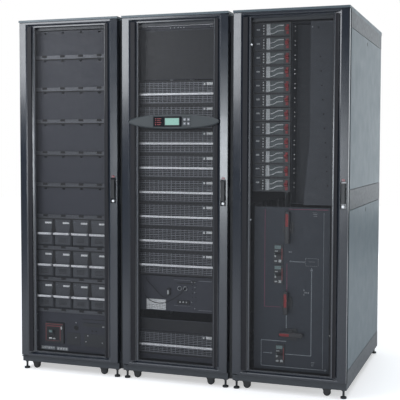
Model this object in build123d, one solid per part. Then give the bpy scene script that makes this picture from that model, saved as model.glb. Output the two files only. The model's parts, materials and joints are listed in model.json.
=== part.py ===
"""Three-cabinet modular uninterruptible power supply row: battery, power-module and distribution cabinets.

Millimetres. +X to the viewer's right, +Y from the front doors to the rear, +Z up.
The origin is under the middle of the row, on the floor. Each cabinet is first drawn in
its own corner frame: x from its left side, y from the face of its front door, z from the floor.
"""
from build123d import *
import math
import os

os.makedirs("parts", exist_ok=True)

# ---------------------------------------------------------------- driving dimensions
CABINET_WIDTH = 610.0
CABINET_GAP = 26.0
CABINET_HEIGHT = 1991.0
FRONT_PROUD = 15.0          # how far the display stands in front of the door faces
BODY_DEPTH = 1110.0         # door face to the back of the rear panel
LEFT, CENTRE, RIGHT = 0, 1, 2
CABINETS = (LEFT, CENTRE, RIGHT)
NAMES = ("left", "centre", "right")
ROW_WIDTH = 3 * CABINET_WIDTH + 2 * CABINET_GAP

SHEET = 2.0                 # folded steel sheet
BASE_Z = 45.0               # underside of the plinth
PLINTH_TOP_Z = 80.0
PLINTH_FRONT_Y = 22.0
FRAME_TOP_Z = 1971.0
ROOF_LIP_Z = 1979.0         # underside of the roof's front lip
POST = 36.0
POST_INSET = 4.0
BEAM_DEPTH = 16.0
BAYING_STRIP_DEPTH = 30.0
FRAME_FRONT_Y = 42.0
REAR_PANEL_DEPTH = 15.0
FRAME_BACK_Y = BODY_DEPTH - REAR_PANEL_DEPTH
BOTTOM_RAIL_TOP_Z = 140.0
MIDDLE_RAIL_Z = (966.0, 1068.0)
TOP_RAIL_Z = 1888.0
SIDE_RAIL_DEPTH = 22.0
CASTER_WHEEL_RADIUS = 19.5
CASTER_AXLE_RADIUS = 3.0

ROOF_HOLE_RADIUS = 5.0
ROOF_HOLE_SPACING_X = 500.0
ROOF_HOLE_SPACING_Y = 860.0
KNOCKOUT_RADIUS = 30.0
KNOCKOUT_SPACING_X = 140.0
KNOCKOUT_SPACING_Y = 520.0
LATCH_DROP = 30.0           # side panel latch below the panel's top
LATCH_RADIUS = 12.0
VENT_ROWS = 28
VENT_PITCH = 62.0
VENT_FIRST_Z = 170.0
VENT_X = (100.0, 325.0)
VENT_SIZE = (185.0, 14.0)

DOOR_EDGE_GAP = 2.0
DOOR_BOTTOM_Z = 84.0
DOOR_TOP_Z = 1977.0
DOOR_THICKNESS = 30.0
DOOR_LEFT_STILE = 44.0      # flat outer borders of the door
DOOR_RIGHT_STILE = 42.0
DOOR_RAIL = 10.0
STILE_LEAN = 6.0            # how far a stile's outer edge falls back
CHAMFER_WIDTH = 8.0
CHAMFER_DEPTH = 4.0
MESH_SEAT_Y = 18.0
MESH_SEAT_LEFT = 84.0
MESH_SEAT_RIGHT = 534.0
MESH_SEAT_Z = (104.0, 1959.0)
MESH_LIP = 8.0
MESH_THICKNESS = 1.5
MESH_BOW = 12.0
HINGE_X = 14.0
HINGE_Y = 16.0
PIN_RADIUS = 4.0
PIN_CLEARANCE = 0.05
SOCKET_DEPTH = 15.0

HANDLE_X = 585.0
HANDLE_POCKET_HALF_WIDTH = 14.0
HANDLE_POCKET_Z = (974.0, 1112.0)
HANDLE_POCKET_DEPTH = 14.0
HANDLE_HALF_WIDTH = 11.0
HANDLE_Z = (1000.0, 1103.0)
HANDLE_Y = (-8.0, 5.0)
HANDLE_PIVOT = (4.0, 1096.0)
HANDLE_PIN_RADIUS = 2.5
HANDLE_ROUNDING = 4.0
BUTTON_Z = 986.0
BUTTON_RADIUS = 7.0
BUTTON_STEM_RADIUS = 3.0

BAY_LEFT = 64.0             # 19 inch wide equipment bay
BAY_RIGHT = 546.0
RAIL_Y = 62.0
RAIL_OUTER_X = 46.0
RAIL_LEG = 40.0
REAR_RAIL_OFFSET = 880.0
UNIT = 44.45                # one rack unit
CAGE_HOLE = 9.0

BATTERY_SHELF_PITCH = 180.0
BATTERY_SHELF_FIRST_Z = 345.0
BATTERY_SHELF_COUNT = 9
BATTERY_ROWS = 3
BATTERY_COLUMNS = 4
BATTERY_PITCH = 114.0
BATTERY_WIDTH = 108.0
BATTERY_FACE_Y = 52.0
BATTERY_CENTRE_X = 301.0
BATTERY_LENGTH = 700.0
BATTERY_WALL = 8.0          # case wall with the cells' weight in it
BATTERY_TAPER = 12.0
BATTERY_BAR_RISE = 73.0
SHELF_X = (66.0, 544.0)
SHELF_Y = (50.0, 900.0)
SHELF_LIP = 20.0
BLANK_Y = 56.0
NOTCH_SIZE = (16.0, 8.0)

DISCONNECT_LOW_Z = 112.0
DISCONNECT_BACK_Y = 420.0
BREAKER_X = (132.0, 250.0)
BREAKER_Y = (44.0, 130.0)
BREAKER_Z = (158.0, 274.0)
SOCKET_HOLES = ((325.0, 252.0, 13.0), (428.0, 240.0, 5.0), (452.0, 240.0, 5.0))

UNIT_PITCH = 133.0          # three rack units
POWER_MODULE_COUNT = 8
POWER_MODULE_FIRST_Z = 580.0
POWER_MODULE_FACE_Y = 66.0
POWER_MODULE_LENGTH = 690.0
POWER_MODULE_WALL = 4.0     # case wall with the circuit boards' weight in it
STATIC_SWITCH_Z = 139.0
INTAKE_X = (78.0, 506.0)
CENTRE_BAR_RISE = 57.0
CONNECTION_Z = (382.0, 574.0)
CONNECTION_DEPTH = 212.0
CONNECTION_COVER = ((422.0, 540.0), (392.0, 566.0))
RING_SOCKETS = ((316.0, 512.0), (348.0, 512.0))
RING_RADII = (12.0, 8.0)
RING_SOCKET_DEPTH = 4.0
PIN_HOLE_COLUMNS = (390.0, 410.0)
PIN_HOLE_ROWS = 7
PIN_HOLE_PITCH = 22.0
LEAD_RADIUS = 2.0           # patch leads on the connection panel
LEAD_STANDOFF = 18.0
PATCH_LEADS = (
    ((100, 502), (114, 462), (146, 436), (195, 423), (241, 430), (276, 450), (316, 474), (348, 512)),
    ((118, 560), (146, 528), (182, 496), (210, 464), (240, 456), (262, 478)),
)
TOP_BLANK_Z = (1646.0, 1916.0)
TOP_STRIP_Z = (1918.0, 1932.0)

OUTGOING_COUNT = 12
OUTGOING_PITCH = 73.5
OUTGOING_FIRST_Z = 1050.0
OUTGOING_X = (86.0, 290.0)
OUTGOING_FACE_Y = 78.0
OUTGOING_DEPTH = 330.0
CLAMP_COMB_X = (133.0, 155.0)
WIRING_FIELD_X = (156.0, 252.0)
WIRING_FIELD_DEPTH = 12.0
TAIL_RADIUS = 2.4           # two outgoing wires curl across each module's wiring field
TAIL_HEIGHTS = (12.0, -14.0)
TAIL_ROUTE = ((252, 9), (232, 9), (214, 6), (202, -3), (184, -8), (156, -8))
TROUGH_X = (293.0, 405.0)
TROUGH_Y = (90.0, 200.0)
TROUGH_Z = (990.0, 1930.0)
COVER_FACE_Y = 72.0
COVER_X = (364.0, 396.0, 526.0)
COVER_Z = (986.0, 1330.0, 1930.0)
COVER_HOLE_X = 436.0
COVER_HOLE_STEP = 5.0
MIMIC_X = (102.0, 507.0)
MIMIC_Z = (110.0, 972.0)
MIMIC_FACE_Y = 72.0
MIMIC_BREAKER_SIZE = (50.0, 102.0)
MIMIC_BREAKER_PROUD = 5.0
ESCUTCHEON_HALF = 30.0
ESCUTCHEON_PROUD = 6.0
SHAFT_RADIUS = 5.0
GRIP_HALF_WIDTH = 12.0

DISPLAY_Z = 1418.0
DISPLAY_X = 306.0
DISPLAY_HALF_WIDTH = 260.0
DISPLAY_HALF_HEIGHT = 40.0


# ---------------------------------------------------------------- small tools
def block(x, y, z):
    """A box from its low and high x, y and z."""
    size = (x[1] - x[0], y[1] - y[0], z[1] - z[0])
    middle = ((x[0] + x[1]) / 2, (y[0] + y[1]) / 2, (z[0] + z[1]) / 2)
    return Pos(*middle) * Box(*size)


def post_round(radius, x, y, z):
    """An upright cylinder between two heights."""
    return Pos(x, y, (z[0] + z[1]) / 2) * Cylinder(radius, z[1] - z[0])


def cross_round(radius, x, y, z):
    """A cylinder lying along X between two x values."""
    return Pos((x[0] + x[1]) / 2, y, z) * Rot(0, 90, 0) * Cylinder(radius, x[1] - x[0])


def depth_round(radius, x, y, z):
    """A cylinder lying along Y between two y values."""
    return Pos(x, (y[0] + y[1]) / 2, z) * Rot(90, 0, 0) * Cylinder(radius, y[1] - y[0])


def taper(front, back):
    """A four-sided solid between two upright rectangles, each (x pair, z pair, y)."""
    rings = []
    for x, z, y in (front, back):
        corners = [(x[0], y, z[0]), (x[1], y, z[0]), (x[1], y, z[1]), (x[0], y, z[1])]
        rings.append(Wire.make_polygon([Vector(*c) for c in corners], close=True))
    return Solid.make_loft(rings, True)


def grown(pair, by):
    return (pair[0] - by, pair[1] + by)


def mirrored(shape):
    """The same shape on the other side of its cabinet."""
    plane = Plane(origin=(CABINET_WIDTH / 2, 0, 0), z_dir=(1, 0, 0))
    return mirror(shape, about=plane)


def in_row(shape, cabinet):
    """Moves a shape from its cabinet's corner frame into the row frame."""
    left_side = -ROW_WIDTH / 2 + cabinet * (CABINET_WIDTH + CABINET_GAP)
    return Pos(left_side, -(BODY_DEPTH - FRONT_PROUD) / 2, 0) * shape


def save(name, shapes):
    """Writes one node, made of one or more separate solids."""
    solids = [solid for shape in shapes for solid in shape.solids()]
    node = solids[0] if len(solids) == 1 else Compound(children=solids)
    export_step(node, f"parts/{name}.step")


# ---------------------------------------------------------------- cabinet structure
OPEN_BACK = (1, 1)          # the open side of a channel: its axis, and its low or high end
OPEN_FRONT = (1, 0)
OPEN_INWARD = (0, 1)


def case(x, y, z, wall):
    """A closed hollow box."""
    return block(x, y, z) - block(grown(x, -wall), grown(y, -wall), grown(z, -wall))


def channel(x, y, z, open_side):
    """A folded sheet channel: a box emptied through one side."""
    inner = [list(grown(pair, -SHEET)) for pair in (x, y, z)]
    axis, end = open_side
    inner[axis][end] += SHEET if end else -SHEET
    return block(x, y, z) - block(*inner)


def cabinet_frame():
    """Welded frame: four tube posts, side rails, cross beams, plinth and lower hinge pin."""
    frame = None
    post_y = (FRAME_FRONT_Y, FRAME_FRONT_Y + POST)
    back_y = (FRAME_BACK_Y - POST, FRAME_BACK_Y)
    for y in (post_y, back_y):
        x = (POST_INSET, POST_INSET + POST)
        z = (BASE_Z, FRAME_TOP_Z)
        tube = block(x, y, z) - block(grown(x, -SHEET), grown(y, -SHEET), z)
        pair = tube + mirrored(tube)
        frame = pair if frame is None else frame + pair
    side_heights = ((BASE_Z, BOTTOM_RAIL_TOP_Z), MIDDLE_RAIL_Z, (TOP_RAIL_Z, FRAME_TOP_Z))
    for z in side_heights:
        x = (0.0, SIDE_RAIL_DEPTH)
        y = (FRAME_FRONT_Y, FRAME_BACK_Y)
        rail = channel(x, y, z, OPEN_INWARD)
        frame = frame + rail + mirrored(rail)
    beam_x = (POST_INSET + POST, CABINET_WIDTH - POST_INSET - POST)
    top_z = (FRAME_TOP_Z - POST, FRAME_TOP_Z)
    front_y = (FRAME_FRONT_Y, FRAME_FRONT_Y + BEAM_DEPTH)
    rear_y = (FRAME_BACK_Y - BEAM_DEPTH, FRAME_BACK_Y)
    for y in (front_y, rear_y):
        frame = frame + channel(beam_x, y, top_z, OPEN_BACK if y is front_y else OPEN_FRONT)
    plinth_z = (BASE_Z, PLINTH_TOP_Z)
    width = (0.0, CABINET_WIDTH)
    frame = frame + channel(width, (PLINTH_FRONT_Y, FRAME_FRONT_Y + POST), plinth_z, OPEN_BACK)
    frame = frame + channel(width, back_y, plinth_z, OPEN_FRONT)
    bracket_y = (HINGE_Y - 12, PLINTH_FRONT_Y + SHEET)
    bracket = block((HINGE_X - 10, HINGE_X + 12), bracket_y, (PLINTH_TOP_Z - 4, PLINTH_TOP_Z))
    pin_z = (PLINTH_TOP_Z - 2, DOOR_BOTTOM_Z + SOCKET_DEPTH - 1)
    return frame + bracket + post_round(PIN_RADIUS, HINGE_X, HINGE_Y, pin_z)


def roof_panel():
    """Shallow roof tray with a front lip over the door, bolt holes, knockouts and the upper hinge pin."""
    width = (0.0, CABINET_WIDTH)
    roof = block(width, (0.0, BODY_DEPTH), (ROOF_LIP_Z, CABINET_HEIGHT))
    roof = roof + block(width, (FRAME_FRONT_Y - 2, BODY_DEPTH), (FRAME_TOP_Z, ROOF_LIP_Z))
    under_z = (FRAME_TOP_Z - 1, CABINET_HEIGHT - 3)
    roof = roof - block(grown(width, -3), (3.0, BODY_DEPTH - 3), under_z)
    boss_y = grown((HINGE_Y, HINGE_Y), 12)
    boss = block((HINGE_X - 10, HINGE_X + 12), boss_y, (ROOF_LIP_Z, CABINET_HEIGHT - 2))
    pin_z = (DOOR_TOP_Z - SOCKET_DEPTH + 1, ROOF_LIP_Z + 1)
    roof = roof + boss + post_round(PIN_RADIUS, HINGE_X, HINGE_Y, pin_z)
    middle_x, middle_y = CABINET_WIDTH / 2, BODY_DEPTH / 2
    top_z = (CABINET_HEIGHT - 4, CABINET_HEIGHT + 1)
    for sx in (-1, 1):
        for sy in (-1, 1):
            x = middle_x + sx * ROOF_HOLE_SPACING_X / 2
            y = middle_y + sy * ROOF_HOLE_SPACING_Y / 2
            roof = roof - post_round(ROOF_HOLE_RADIUS, x, y, top_z)
    groove_z = (CABINET_HEIGHT - 1, CABINET_HEIGHT + 1)
    for column in (-1, 0, 1):
        for y in (middle_y - KNOCKOUT_SPACING_Y / 2, middle_y + KNOCKOUT_SPACING_Y / 2):
            x = middle_x + column * KNOCKOUT_SPACING_X
            inside = post_round(KNOCKOUT_RADIUS - 3, x, y, groove_z)
            roof = roof - (post_round(KNOCKOUT_RADIUS, x, y, groove_z) - inside)
    return roof


def side_panel_pair():
    """Upper and lower outer side panels, with their key-latch holes, on a cabinet's left side."""
    panels = []
    for z in ((MIDDLE_RAIL_Z[1], TOP_RAIL_Z), (BOTTOM_RAIL_TOP_Z, MIDDLE_RAIL_Z[0])):
        panel = block((0.0, POST_INSET), (FRAME_FRONT_Y + 5, FRAME_BACK_Y - 4), grown(z, -3))
        latch_z = z[1] - LATCH_DROP
        hole = cross_round(LATCH_RADIUS, (-1.0, POST_INSET + 1), BODY_DEPTH / 2, latch_z)
        dial = cross_round(LATCH_RADIUS - 0.3, (0.5, POST_INSET), BODY_DEPTH / 2, latch_z)
        slot = block((0.0, 2.0), (BODY_DEPTH / 2 - 1.5, BODY_DEPTH / 2 + 1.5), (latch_z - 7, latch_z + 7))
        panels += [panel - hole, dial - slot]
    return panels


def rear_panel():
    """Rear cover tray with two columns of ventilation slots."""
    x = (POST_INSET, CABINET_WIDTH - POST_INSET)
    z = (DOOR_BOTTOM_Z, FRAME_TOP_Z - 2)
    panel = block(x, (FRAME_BACK_Y, BODY_DEPTH), z)
    panel = panel - block(grown(x, -SHEET), (FRAME_BACK_Y - 1, BODY_DEPTH - SHEET), grown(z, -SHEET))
    cuts = []
    for row in range(VENT_ROWS):
        low = VENT_FIRST_Z + row * VENT_PITCH
        for left in VENT_X:
            y = (BODY_DEPTH - 2 * SHEET, BODY_DEPTH + 1)
            cuts.append(block((left, left + VENT_SIZE[0]), y, (low, low + VENT_SIZE[1])))
    return panel - cuts


def mounting_rail(with_holes):
    """An L-section equipment rail, left side, with a square cage-nut hole at every unit."""
    z = (BOTTOM_RAIL_TOP_Z - 30, FRAME_TOP_Z - POST - 2)
    rail = block((RAIL_OUTER_X, BAY_LEFT), (RAIL_Y, RAIL_Y + SHEET), z)
    rail = rail + block((BAY_LEFT - SHEET, BAY_LEFT), (RAIL_Y, RAIL_Y + RAIL_LEG), z)
    if with_holes:
        cuts = []
        hole_x = (RAIL_OUTER_X + 4, RAIL_OUTER_X + 4 + CAGE_HOLE)
        for unit in range(int((z[1] - z[0]) / UNIT) - 1):
            middle = z[0] + (unit + 0.5) * UNIT
            hole_z = grown((middle, middle), CAGE_HOLE / 2)
            cuts.append(block(hole_x, (RAIL_Y - 1, RAIL_Y + 3), hole_z))
        rail = rail - cuts
    return rail


def levelling_foot(x, y):
    disc = post_round(16.0, x, y, (0.0, 9.0))
    stem = post_round(6.0, x, y, (9.0, BASE_Z))
    nut = Pos(x, y, BASE_Z - 6) * extrude(RegularPolygon(11.0, 6), 6)
    return disc + stem + nut


def caster(x, y):
    """A caster parked sideways: top plate, two tapering cheeks, an axle and the wheel on it."""
    plate_z = (BASE_Z - 3, BASE_Z)
    fork = block((x - 28, x + 28), (y - 15, y + 15), plate_z)
    fork = fork + depth_round(CASTER_AXLE_RADIUS, x, (y - 14, y + 14), CASTER_WHEEL_RADIUS)
    corners = [(x - 25, plate_z[0]), (x + 25, plate_z[0]), (x + 9, 10.0), (x - 9, 10.0)]
    cheek = make_face(Wire.make_polygon([Vector(cx, 0, cz) for cx, cz in corners], close=True))
    for cheek_y in (y - 13, y + 10.5):
        fork = fork + Pos(0, cheek_y, 0) * extrude(cheek, 2.5, dir=(0, 1, 0))
    wheel = depth_round(CASTER_WHEEL_RADIUS, x, (y - 9, y + 9), CASTER_WHEEL_RADIUS)
    wheel = fillet(wheel.edges(), 3.0)
    wheel = wheel - depth_round(CASTER_AXLE_RADIUS + 0.1, x, (y - 10, y + 10), CASTER_WHEEL_RADIUS)
    return [fork, wheel]


# ---------------------------------------------------------------- doors
def door_opening(grow):
    """The pressed opening in the door: a shallow chamfer, then a slope down to the mesh seat."""
    flat_x = (DOOR_LEFT_STILE - grow, CABINET_WIDTH - DOOR_RIGHT_STILE + grow)
    flat_z = (DOOR_BOTTOM_Z + DOOR_RAIL - grow, DOOR_TOP_Z - DOOR_RAIL + grow)
    slope_x, slope_z = grown(flat_x, -CHAMFER_WIDTH), grown(flat_z, -CHAMFER_WIDTH / 2)
    seat_x = (MESH_SEAT_LEFT - grow, MESH_SEAT_RIGHT + grow)
    seat_z = grown(MESH_SEAT_Z, grow)
    step_y = CHAMFER_DEPTH
    chamfer_part = taper((flat_x, flat_z, 0.0), (slope_x, slope_z, step_y))
    slope_part = taper((slope_x, slope_z, step_y), (seat_x, seat_z, MESH_SEAT_Y + (SHEET if grow else 0)))
    return chamfer_part + slope_part


def door_profile(inset):
    """The door's plan outline, its stiles leaning back to the outer edges, shrunk all round by an inset."""
    left, right = DOOR_EDGE_GAP + inset, CABINET_WIDTH - DOOR_EDGE_GAP - inset
    flat_left, flat_right = DOOR_LEFT_STILE, CABINET_WIDTH - DOOR_RIGHT_STILE
    back = DOOR_THICKNESS + (1.0 if inset else 0.0)
    lean = STILE_LEAN + inset
    outline = [(left, back), (left, lean), (flat_left, inset), (flat_right, inset), (right, lean), (right, back)]
    face = make_face(Wire.make_polygon([Vector(x, y, 0) for x, y in outline], close=True))
    low, high = DOOR_BOTTOM_Z + inset, DOOR_TOP_Z - inset
    return Pos(0, 0, low) * extrude(face, high - low, dir=(0, 0, 1))


def front_door():
    """Pressed steel door shell with its mesh window, hinge sockets and handle pocket."""
    x = (DOOR_EDGE_GAP, CABINET_WIDTH - DOOR_EDGE_GAP)
    z = (DOOR_BOTTOM_Z, DOOR_TOP_Z)
    outer = door_profile(0.0)
    shell = outer - door_opening(0.0)
    cavity = door_profile(SHEET) - door_opening(3.0)
    window_x = (MESH_SEAT_LEFT + MESH_LIP, MESH_SEAT_RIGHT - MESH_LIP)
    door = shell - cavity - block(window_x, (-1.0, DOOR_THICKNESS + 1), grown(MESH_SEAT_Z, -MESH_LIP))
    socket_x, socket_y = (x[0] + 1, HINGE_X + 12), (1.0, HINGE_Y + 12)
    low = (z[0] + 1, z[0] + SOCKET_DEPTH + 3)
    high = (z[1] - SOCKET_DEPTH - 3, z[1] - 1)
    door = door + (outer & block(socket_x, socket_y, low)) + (outer & block(socket_x, socket_y, high))
    hole = PIN_RADIUS + PIN_CLEARANCE
    door = door - post_round(hole, HINGE_X, HINGE_Y, (z[0] - 1, z[0] + SOCKET_DEPTH))
    door = door - post_round(hole, HINGE_X, HINGE_Y, (z[1] - SOCKET_DEPTH, z[1] + 1))
    pocket_x = (HANDLE_X - HANDLE_POCKET_HALF_WIDTH, HANDLE_X + HANDLE_POCKET_HALF_WIDTH)
    cup = block(grown(pocket_x, SHEET), (1.0, HANDLE_POCKET_DEPTH + SHEET), grown(HANDLE_POCKET_Z, SHEET))
    door = door + (outer & cup) - block(pocket_x, (-1.0, HANDLE_POCKET_DEPTH), HANDLE_POCKET_Z)
    door = door + cross_round(HANDLE_PIN_RADIUS, grown(pocket_x, 1), *HANDLE_PIVOT)
    stem_hole = depth_round(BUTTON_STEM_RADIUS + 0.3, HANDLE_X, (10.0, 20.0), BUTTON_Z)
    return door - stem_hole


def mesh_panel():
    """Perforated sheet, clamped flat behind the lips and bowed forward through the window."""
    left, right = MESH_SEAT_LEFT + 1, MESH_SEAT_RIGHT - 1
    bow_left, bow_right = left + MESH_LIP + 3, right - MESH_LIP - 3
    back = MESH_SEAT_Y + SHEET
    outer = [
        Line((left, back), (bow_left, back)),
        ThreePointArc((bow_left, back), ((bow_left + bow_right) / 2, back - MESH_BOW), (bow_right, back)),
        Line((bow_right, back), (right, back)),
    ]
    deep = back + MESH_THICKNESS
    inner = [
        Line((right, back), (right, deep)),
        Line((right, deep), (bow_right, deep)),
        ThreePointArc((bow_right, deep), ((bow_left + bow_right) / 2, deep - MESH_BOW), (bow_left, deep)),
        Line((bow_left, deep), (left, deep)),
        Line((left, deep), (left, back)),
    ]
    section = make_face(Wire(outer + inner))
    height = grown(MESH_SEAT_Z, -MESH_LIP - 1)
    return Pos(0, 0, height[0]) * extrude(section, height[1] - height[0], dir=(0, 0, 1))


def door_handle():
    """Lift handle: a rounded lever on a cross pin near its top."""
    x = (HANDLE_X - HANDLE_HALF_WIDTH, HANDLE_X + HANDLE_HALF_WIDTH)
    lever = block(x, HANDLE_Y, HANDLE_Z)
    lever = fillet(lever.edges().filter_by(Axis.Z), HANDLE_ROUNDING)
    lower_back = block(grown(x, 1), (1.0, HANDLE_Y[1] + 1), (HANDLE_Z[0] - 1, HANDLE_PIVOT[1] - 14))
    lever = lever - lower_back
    return lever - cross_round(HANDLE_PIN_RADIUS + PIN_CLEARANCE, grown(x, 1), *HANDLE_PIVOT)


def latch_button():
    head = depth_round(BUTTON_RADIUS, HANDLE_X, (-2.0, 10.0), BUTTON_Z)
    head = chamfer(head.edges().group_by(Axis.Y)[0], 1.0)
    return head + depth_round(BUTTON_STEM_RADIUS, HANDLE_X, (9.0, 21.0), BUTTON_Z)


# ---------------------------------------------------------------- display on the centre door
WINDOW_X = (196.0, 356.0)
WINDOW_Z = (1392.0, 1444.0)
KEY_X = (374.0, 396.0)
KEY_Z = (1407.0, 1429.0)
KEY_SIZE = 14.0
KEY_GAP = 0.4


def display_bezel():
    """Domed elliptical housing with a sunken window seat and four key wells."""
    base = extrude(Ellipse(DISPLAY_HALF_WIDTH, DISPLAY_HALF_HEIGHT), 9.0)
    dome = Pos(0, 0, 9.0) * extrude(Ellipse(DISPLAY_HALF_WIDTH, DISPLAY_HALF_HEIGHT), 5.0, taper=50)
    bezel = Pos(DISPLAY_X, 0, DISPLAY_Z) * Rot(90, 0, 0) * (base + dome)
    bezel = bezel - block((WINDOW_X[0] - 2, KEY_X[1] + 17), (-16.0, -11.0), grown(WINDOW_Z, 2))
    for x in KEY_X:
        for z in KEY_Z:
            half = KEY_SIZE / 2 + KEY_GAP
            bezel = bezel - block((x - half, x + half), (-16.0, -4.0), (z - half, z + half))
    return bezel


def display_window():
    pane = block(WINDOW_X, (-13.5, -11.0), WINDOW_Z)
    return fillet(pane.edges().filter_by(Axis.Y), 3.0)


def display_key(x, z):
    half = KEY_SIZE / 2
    key = block((x - half, x + half), (-FRONT_PROUD, -6.5), (z - half, z + half))
    return fillet(key.edges().filter_by(Axis.Y), 2.5)


# ---------------------------------------------------------------- breaker levers and rotary handles
class Toggle:
    """A rocking breaker lever on a hub let into the face of its breaker, 30 degrees up at rest."""

    rest_angle = 30.0

    def __init__(self, x, face_y, z, half_width, hub_radius, reach, thickness):
        self.x = (x - half_width, x + half_width)
        self.y = face_y + hub_radius / 3
        self.z = z
        self.hub_radius = hub_radius
        self.reach = reach
        self.thickness = thickness

    def lever(self):
        half = self.thickness / 2
        arm = block(self.x, (-self.reach, 0.0), (-half, half))
        arm = fillet(arm.edges().filter_by(Axis.X).group_by(Axis.Y)[0], half * 0.8)
        arm = Pos(0, self.y, self.z) * Rot(-self.rest_angle, 0, 0) * arm
        return arm + cross_round(self.hub_radius, self.x, self.y, self.z)

    def well(self):
        return cross_round(self.hub_radius + 0.35, grown(self.x, 0.35), self.y, self.z)


class RotarySwitch:
    """A mimic-panel switch: a square escutcheon with a bar handle on a quarter-turn shaft."""

    def __init__(self, name, x, z, half_length, upright):
        self.name = name
        self.x, self.z = x, z
        self.half_length = half_length
        self.upright = upright

    def escutcheon(self):
        y = (MIMIC_FACE_Y - ESCUTCHEON_PROUD, MIMIC_FACE_Y)
        half = ESCUTCHEON_HALF
        plate = block((self.x - half, self.x + half), y, (self.z - half, self.z + half))
        plate = fillet(plate.edges().filter_by(Axis.Y), half / 5)
        return plate - depth_round(SHAFT_RADIUS + PIN_CLEARANCE, self.x, grown(y, 1), self.z)

    def shaft_hole(self):
        return depth_round(SHAFT_RADIUS + 1, self.x, (MIMIC_FACE_Y - 1, MIMIC_FACE_Y + 5), self.z)

    def handle(self):
        seat = MIMIC_FACE_Y - ESCUTCHEON_PROUD - 0.3
        half_width = GRIP_HALF_WIDTH
        hub = depth_round(1.75 * half_width, 0.0, (seat - 12, seat), 0.0)
        grip = block((-half_width, half_width), (seat - 28, seat - 4), (-self.half_length, self.half_length))
        grip = fillet(grip.edges().filter_by(Axis.Y), half_width * 0.6)
        grip = chamfer(grip.edges().group_by(Axis.Y)[0], half_width / 4)
        shaft = depth_round(SHAFT_RADIUS, 0.0, (seat - 1, MIMIC_FACE_Y + 12), 0.0)
        turn = 0.0 if self.upright else 90.0
        return Pos(self.x, 0, self.z) * Rot(0, turn, 0) * (hub + grip + shaft)


ROTARY_SWITCHES = (
    RotarySwitch("input_switch_handle", 286.0, 866.0, 84.0, True),
    RotarySwitch("output_switch_handle", 280.0, 470.0, 60.0, True),
    RotarySwitch("bypass_switch_handle", 308.0, 304.0, 66.0, False),
)
MIMIC_BREAKER_CENTRES = ((234.0, 725.0), (235.0, 617.0), (246.0, 196.0))


def mimic_breaker_room(x, z, y):
    half_x, half_z = MIMIC_BREAKER_SIZE[0] / 2, MIMIC_BREAKER_SIZE[1] / 2
    return block((x - half_x, x + half_x), y, (z - half_z, z + half_z))


def mimic_breaker_body(x, z):
    return mimic_breaker_room(x, z, (MIMIC_FACE_Y - MIMIC_BREAKER_PROUD, MIMIC_FACE_Y + 60))


MIMIC_TOGGLES = [
    Toggle(x, MIMIC_FACE_Y - MIMIC_BREAKER_PROUD, z, 16.0, 8.0, 20.0, 6.0) for x, z in MIMIC_BREAKER_CENTRES
]


def outgoing_z(row):
    """Middle height of an outgoing breaker module, counted up from the lowest."""
    return OUTGOING_FIRST_Z + (row + 0.5) * OUTGOING_PITCH


OUTGOING_TOGGLES = [
    Toggle(270.0, OUTGOING_FACE_Y, outgoing_z(row), 9.0, 8.0, 20.0, 7.0) for row in range(OUTGOING_COUNT)
]
BATTERY_TOGGLE = Toggle(180.0, BREAKER_Y[0], 214.0, 13.0, 12.0, 24.0, 10.0)


# ---------------------------------------------------------------- battery cabinet contents
def shelf_z(index):
    """Top edge height of a battery shelf's front lip."""
    return BATTERY_SHELF_FIRST_Z + 10 + index * BATTERY_SHELF_PITCH


def battery_shelf(index):
    """A tray with a turned-down front lip."""
    top = shelf_z(index)
    tray = block(SHELF_X, SHELF_Y, (top - SHEET, top))
    lip = block(SHELF_X, (SHELF_Y[0], SHELF_Y[0] + SHEET), (top - SHELF_LIP, top - SHEET))
    return tray + lip


def battery_blank(index):
    """A flat cover over an unused battery bay, with four latch notches under its top edge."""
    low, high = shelf_z(index) + 1, shelf_z(index + 1) - SHELF_LIP - 1
    if index == BATTERY_SHELF_COUNT - 1:
        high = FRAME_TOP_Z - POST - 4
    plate = block(grown(SHELF_X, -2), (BLANK_Y, BLANK_Y + SHEET), (low, high))
    cuts = []
    for column in range(BATTERY_COLUMNS):
        x = battery_x(column) + 6
        notch_z = (high - 6 - NOTCH_SIZE[1], high - 6)
        cuts.append(block(grown((x, x), NOTCH_SIZE[0] / 2), (BLANK_Y - 1, BLANK_Y + 3), notch_z))
    return plate - cuts


def battery_x(column):
    return BATTERY_CENTRE_X + (column - (BATTERY_COLUMNS - 1) / 2) * BATTERY_PITCH


def battery_module(column, row):
    """A long sealed battery cassette with a tapered front."""
    low = shelf_z(row) + 0.5
    high = shelf_z(row + 1) - SHELF_LIP - 4
    x = (battery_x(column) - BATTERY_WIDTH / 2, battery_x(column) + BATTERY_WIDTH / 2)
    case_y = (BATTERY_FACE_Y + BATTERY_TAPER, BATTERY_FACE_Y + BATTERY_LENGTH)
    body = case(x, case_y, (low, high), BATTERY_WALL)
    narrow = (grown(x, -BATTERY_TAPER / 2), (low + BATTERY_TAPER, high - 3), BATTERY_FACE_Y)
    front = taper(narrow, (x, (low, high), case_y[0]))
    return body + front


def pull_bar(x, z, face_y, proud):
    """A bent pull bar: a flat rounded grip on two legs."""
    grip = block(x, (face_y - proud, face_y - proud + 6), (z - 6, z + 6))
    grip = fillet(grip.edges().filter_by(Axis.X), 2.5)
    legs_y = (face_y - proud + 3, face_y)
    for leg_x in (x[0] + 5, x[1] - 5):
        grip = grip + block((leg_x - 4, leg_x + 4), legs_y, (z - 4, z + 4))
    return grip


def battery_bars():
    bars = []
    for row in range(BATTERY_ROWS):
        for column in range(BATTERY_COLUMNS):
            x = battery_x(column)
            z = shelf_z(row) + BATTERY_BAR_RISE
            bars.append(pull_bar(grown((x, x), BATTERY_WIDTH / 2 - 5), z, BATTERY_FACE_Y, 22.0))
    return bars


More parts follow.
